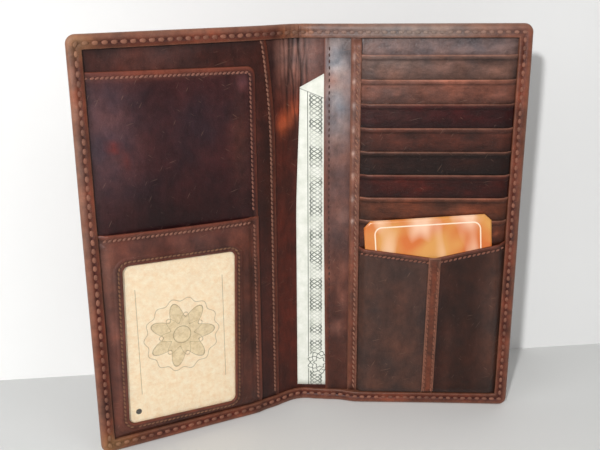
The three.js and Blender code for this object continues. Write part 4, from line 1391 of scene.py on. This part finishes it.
def slot_patches(index, colour):
    """A painted sheen near the binding end, a darker place near the far end, and rubbed and dark places of a
    card slot, other ones on every slot.
    """
    middle = SLOT_TOP_Z - (index + 0.5) * SLOT_PITCH
    across = (SPINE + BINDING_EDGE + 4, SPINE + MOUTH)
    upward = (middle - 4, middle + 4)
    # Painted sheen near the binding end, weaker on each lower slot.
    sheen_share = max(0.5 - 0.2 * index, 0.0)
    patches = [
        (SPINE + BINDING_EDGE + 14, middle + 1, 15.0, 4.5, seen(140, 122, 114), sheen_share),
        (SPINE + MOUTH - 14, middle, 12.0, 4.0, colour * 0.5, 0.6),
    ]
    patches += blotches(colour, across, upward, 9, 7.0, 2.0, 0.75)
    return patches + blotches(colour, across, upward, 6, 1.6, 0.5, 0.8)


def card_slot(index, colour):
    """A strip with a turned lip on top, with a painted highlight along the lip, painted shade just under it,
    and painted shade low down, near where the next one lies over it.
    """
    top = SLOT_TOP_Z - index * SLOT_PITCH
    tail = np.linspace(top - SLOT_TAIL, top - 2 * LIP_HEIGHT, 8)
    z_line = np.unique(np.round(np.concatenate([tail, top - FINE_STEPS[:-2]]), 3))
    u, z = np.meshgrid(stations(CARD_PANEL_EDGE + 1.0, SEWN_FAR, 2.5), z_line)
    edge = top - z
    lip = STRIP_LIP * (1 - smooth(edge - LIP_HEIGHT + 0.5))
    back = STRIP_BACK - STRIP_SLOPE * edge
    under = level(1, u, z, back)
    over = level(1, u, z, back + STRIP_LEATHER + lip) - rounding(edge, EDGE_ROUND) * squeeze(u, z)
    shade_near_next_lip = 0.42 + 0.58 * smooth((SLOT_PITCH - edge) / 4.0)
    lip_highlight = 1 + 1.3 * hump(edge, 0.35, 0.3) * (0.55 + 0.45 * np.sin(u / 9.0 + index))
    shade_under_lip = 1 - 0.45 * hump(edge, LIP_HEIGHT, 0.5)
    return sheet(
        f"slot_{index + 1}", 1, u, z, under, over, SLOT, colour,
        edge=edge, worn_reach=0.4, patches=slot_patches(index, colour), shade=shade_near_next_lip * lip_highlight * shade_under_lip,
    )


def mouth_z(u):
    """The dipped mouth of the front pocket."""
    left = (u - FRONT_DIP_AT) / (CARD_PANEL_EDGE - FRONT_DIP_AT) * (FRONT_LEFT_Z - FRONT_DIP_Z)
    right = (u - FRONT_DIP_AT) / (COVER - FRONT_DIP_AT) * (FRONT_RIGHT_Z - FRONT_DIP_Z)
    return FRONT_DIP_Z + np.where(u < FRONT_DIP_AT, left, right)


def front_half(name, near, far, colour, patches):
    shares = stations(0.0, FRONT_RUN, 2.5, fine="high") / FRONT_RUN
    u, share = np.meshgrid(stations(near, far, 2.0), shares)
    z = SEWN_LOW + share * (mouth_z(u) - SEWN_LOW)
    edge = mouth_z(u) - z
    under = level(1, u, z, FRONT_LIFT)
    over = level(1, u, z, FRONT_TOP) + edge_relief(edge, FRONT_ROW, 0.18)
    ends = np.array([max(near, BINDING_EDGE + 1), min(far, MOUTH - 1)])
    line = np.stack([SPINE + ends, mouth_z(ends) - FRONT_ROW], 1)
    floor = on_layer(1, FRONT_TOP, 0.1)
    sew("right_cover", line, floor, seen(136, 87, 70), length=2.1, width=1.05, trim=0.8)
    return sheet(name, 1, u, z, under, over, POCKET, colour, edge=edge, patches=patches, row=FRONT_ROW)


def strip_middle(z):
    return FRONT_DIP_AT - STRIP_LEAN * np.clip((FRONT_DIP_Z - z) / FRONT_DIP_Z, 0, 1)


def front_strip():
    half = STRIP_WIDTH / 2
    offset, z = np.meshgrid(half * np.array(STRIP_STEPS), stations(SEWN_LOW, STRIP_TOP_Z, 2.0, fine="high"))
    u = strip_middle(z) + offset
    edge = np.minimum(half - np.abs(offset), STRIP_TOP_Z - z)
    under = level(1, u, z, STRIP_LIFT - 0.1)
    over = level(1, u, z, STRIP_TOP) + edge_relief(edge, STRIP_ROW, 0.15)
    floor = on_layer(1, STRIP_TOP, 0.1)
    for beside in (STRIP_ROW - half, half - STRIP_ROW):
        line = [(SPINE + strip_middle(up) + beside, up) for up in (ROW_LOW, STRIP_ROW_HIGH)]
        sew("right_cover", line, floor, seen(140, 88, 68), pitch=2.2, length=2.1, width=0.9, lean=0.2)
    return sheet(
        "front_strip", 1, u, z, under, over, TRIM, seen(112, 66, 51),
        edge=edge, worn_reach=0.7, row=STRIP_ROW,
    )


# The paler, greyer colours of the first slots hold painted sheen.
SLOT_COLOURS = (
    seen(108, 84, 76), seen(116, 78, 67), seen(64, 26, 20), seen(84, 52, 45),
    seen(50, 37, 34), seen(71, 38, 32), seen(102, 62, 48), seen(96, 58, 46),
)
dress(note_pocket(), "right_cover", "note_pocket_panel")
dress(card_panel(), "right_cover", "card_panel")
dress(binding(), "right_cover", "card_panel_binding")
for index in range(SLOT_COUNT):
    dress(card_slot(index, SLOT_COLOURS[index]), "right_cover", f"card_slot_{index + 1}")
front_patches = [
    (SPINE + 88.0, 50.0, 6.0, 40.0, seen(112, 84, 74), 0.5),
    (SPINE + 58.0, 40.0, 5.0, 40.0, seen(50, 32, 30), 0.4),
]
front_patches += blotches(seen(78, 55, 49), (SPINE + 22, SPINE + 91), (8, 80), 40, 2.2, 9.0, 0.25)
for half, near, far, colour in (
    ("left", CARD_PANEL_EDGE + 1, FRONT_DIP_AT - 0.1, seen(84, 63, 56)),
    ("right", FRONT_DIP_AT + 0.1, SEWN_FAR, seen(60, 42, 37)),
):
    front = front_half(f"front_{half}", near, far, colour, front_patches)
    dress(front, "right_cover", f"front_pocket_{half}")
dress(front_strip(), "right_cover", "front_pocket_seam_strip")


# Contents of the right cover

NOTE_CROOK = 2.2
NOTE_CROOK_Z = 95.0
NOTE_CROOK_RAMP = 75.0
NOTE_CROOK_REACH = 16.0


def sample_card():
    """A card that leans in the front pocket, with its top corners cut off."""
    cut = np.linspace(0, SAMPLE_CUT, 4)
    between = np.linspace(-SAMPLE_HALF + SAMPLE_CUT, SAMPLE_HALF - SAMPLE_CUT, 30)[1:-1]
    across = np.concatenate([-SAMPLE_HALF + cut, between, SAMPLE_HALF - cut[::-1]])
    offset, share = np.meshgrid(across, np.linspace(0, 1, 30))
    top = np.minimum(0.0, SAMPLE_HALF - SAMPLE_CUT - np.abs(offset))
    drop = -SAMPLE_LENGTH + share * (SAMPLE_LENGTH + top)
    u = SAMPLE_MIDDLE + offset * math.cos(SAMPLE_TILT) - drop * math.sin(SAMPLE_TILT)
    z = SAMPLE_TOP_Z + offset * math.sin(SAMPLE_TILT) + drop * math.cos(SAMPLE_TILT)
    return sheet("sample", 1, u, z, SAMPLE_LIFT, SAMPLE_LIFT + SAMPLE_BOARD, SAMPLE, WHITE)


def paper_note():
    """A note that stands out of the long pocket, flat in the right cover's plane, one corner missing."""
    near = np.linspace(0, NOTE_CROOK_REACH, 17)
    across = np.concatenate([near, np.linspace(NOTE_CROOK_REACH + 4, NOTE_WIDTH, 8)])
    offset, share = np.meshgrid(across, np.linspace(0, 1, 50))
    ear = NOTE_EAR * np.clip(1 - offset / (2 * NOTE_EAR), 0, 1)
    z = NOTE_BASE + share * (NOTE_LENGTH - ear)
    crooked = NOTE_CROOK * smooth((z - NOTE_CROOK_Z) / NOTE_CROOK_RAMP) - 0.6
    u = NOTE_NEAR + offset + crooked * np.clip(1 - offset / NOTE_CROOK_REACH, 0, 1)
    forward = np.array([math.sin(TURN), math.cos(TURN)])
    layers = []
    for raised in (NOTE_LIFT + NOTE_PAPER, NOTE_LIFT):
        plan = right_plan(u) - raised * forward + np.array(ORIGIN)
        layers.append(np.concatenate([plan, z[..., None]], -1).reshape(-1, 3))
    points = np.concatenate(layers)
    flat = np.tile(np.stack([u.ravel(), z.ravel()], 1), (2, 1))
    faces = sheet_faces(*u.shape)
    return finish_mesh("note", points, faces, flat, np.ones(points.shape), np.zeros(len(points)), NOTE)


dress(sample_card(), "sample", "sample_card")
note = paper_note()
dress(note, "note", "paper_note")
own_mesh(note)

# The rows of stitches ride with the leather that they are sewn through
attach(stitch_mesh("left_cover_stitches", "left_cover"), "left_cover")
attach(stitch_mesh("right_cover_stitches", "right_cover"), "right_cover")
bend(stitch_mesh("left_hem_stitches", "left_hem"))
bend(stitch_mesh("right_hem_stitches", "right_hem"))


# Floor, wall, light and camera

STAGE_REACH = 3.0
WALL_HEIGHT = 2.5
WALL_POINT = (0.0302, 0.0612)
WALL_TURN = math.radians(-20.0)
CAMERA_AT = (-0.166807, -0.318596, 0.218002)
CAMERA_YAW = math.radians(26.796)
CAMERA_PITCH = math.radians(17.716)
CAMERA_ROLL = math.radians(-0.379)
CAMERA_LENS = 50.058
CAMERA_SENSOR = 36.0


def plain_material(name, colour, pale_colour, pale_at, reach, roughness):
    """A plain surface with painted light: palest at one place and darker between two distances from it."""
    look = Look(name)
    coords = look.add("TexCoord", {}, "Object")
    away = look.add("VectorMath", {0: coords, 1: pale_at}, "Value", operation="DISTANCE")
    tone = look.mix(look.remap(away, reach[0], reach[1], 1.0, 0.0), colour, pale_colour)
    clouds = look.remap(look.noise(coords, 6.0, 2.0), 0.3, 0.7, 0.97, 1.0)
    colour = look.scaled(tone, clouds)
    look.set_shader({"Base Color": colour, "Roughness": roughness, "Specular IOR Level": 0.2})
    return look


def open_from_behind(look):
    """The wall is seen from its front only, so that the wallet's back can be looked at as well."""
    behind = look.add("NewGeometry", {}, "Backfacing")
    clear = look.add("BsdfTransparent", {})
    look.show(look.add("MixShader", {0: behind, 1: look.shader.outputs[0], 2: clear}))


def plane(name, corners, material):
    mesh = bpy.data.meshes.new(name)
    mesh.from_pydata(corners, [], [(0, 1, 2, 3)])
    mesh.materials.append(material)
    piece = bpy.data.objects.new(name, mesh)
    bpy.context.scene.collection.objects.link(piece)


def wall_corner(along, z):
    x = WALL_POINT[0] + along * math.cos(WALL_TURN)
    y = WALL_POINT[1] + along * math.sin(WALL_TURN)
    return (x, y, z)


def area_light(name, at, toward, size, power):
    data = bpy.data.lights.new(name, "AREA")
    data.shape = "DISK"
    data.size = size
    data.energy = power
    lamp = bpy.data.objects.new(name, data)
    lamp.location = at
    aim = np.array(toward) - np.array(at)
    yaw = math.atan2(aim[1], aim[0]) - math.pi / 2
    pitch = math.atan2(aim[2], math.hypot(aim[0], aim[1]))
    lamp.rotation_euler = (math.pi / 2 + pitch, 0.0, yaw)
    bpy.context.scene.collection.objects.link(lamp)


# Painted pool of light: the floor is palest in front of the wallet.
floor_grey = plain_material(
    "floor_grey", paint(208, 209, 208), paint(231, 231, 229), (0.03, -0.05, 0.0), (0.02, 0.24), 0.6,
)
# Painted light: the wall is palest behind the wallet's left side.
wall_white = plain_material(
    "wall_white", paint(204, 204, 204), paint(236, 236, 235), (-0.05, 0.09, 0.05), (0.1, 0.5), 0.8,
)
open_from_behind(wall_white)
around_floor = ((-1, -1), (1, -1), (1, 1), (-1, 1))
around_wall = ((-1, 0), (1, 0), (1, 1), (-1, 1))
plane("floor", [(STAGE_REACH * x, STAGE_REACH * y, 0) for x, y in around_floor], floor_grey.material)
plane("wall", [wall_corner(STAGE_REACH * x, WALL_HEIGHT * z) for x, z in around_wall], wall_white.material)
area_light("lamp", (-0.65, -0.7, 0.5), (0.0, 0.0, 0.09), 0.06, 8.6)
area_light("window_side", (-0.9, -0.25, 0.65), (0.0, 0.0, 0.1), 0.7, 2.0)
area_light("fill", (0.35, -1.0, 0.75), (0.0, 0.0, 0.09), 0.8, 2.6)
world = bpy.data.worlds.new("soft_room")
world.use_nodes = True
world.node_tree.nodes["Background"].inputs["Color"].default_value = (1.0, 0.99, 0.98, 1.0)
world.node_tree.nodes["Background"].inputs["Strength"].default_value = 0.22
bpy.context.scene.world = world

lens = bpy.data.cameras.new("photo_camera")
lens.sensor_width = CAMERA_SENSOR
lens.lens = CAMERA_LENS
lens.clip_start = 0.01
camera = bpy.data.objects.new("photo_camera", lens)
aim = Matrix.Rotation(-CAMERA_YAW, 4, "Z") @ Matrix.Rotation(math.pi / 2 - CAMERA_PITCH, 4, "X")
camera.matrix_world = Matrix.Translation(CAMERA_AT) @ aim @ Matrix.Rotation(CAMERA_ROLL, 4, "Z")
bpy.context.scene.collection.objects.link(camera)
bpy.context.scene.camera = camera
bpy.context.scene.view_settings.view_transform = "Standard"
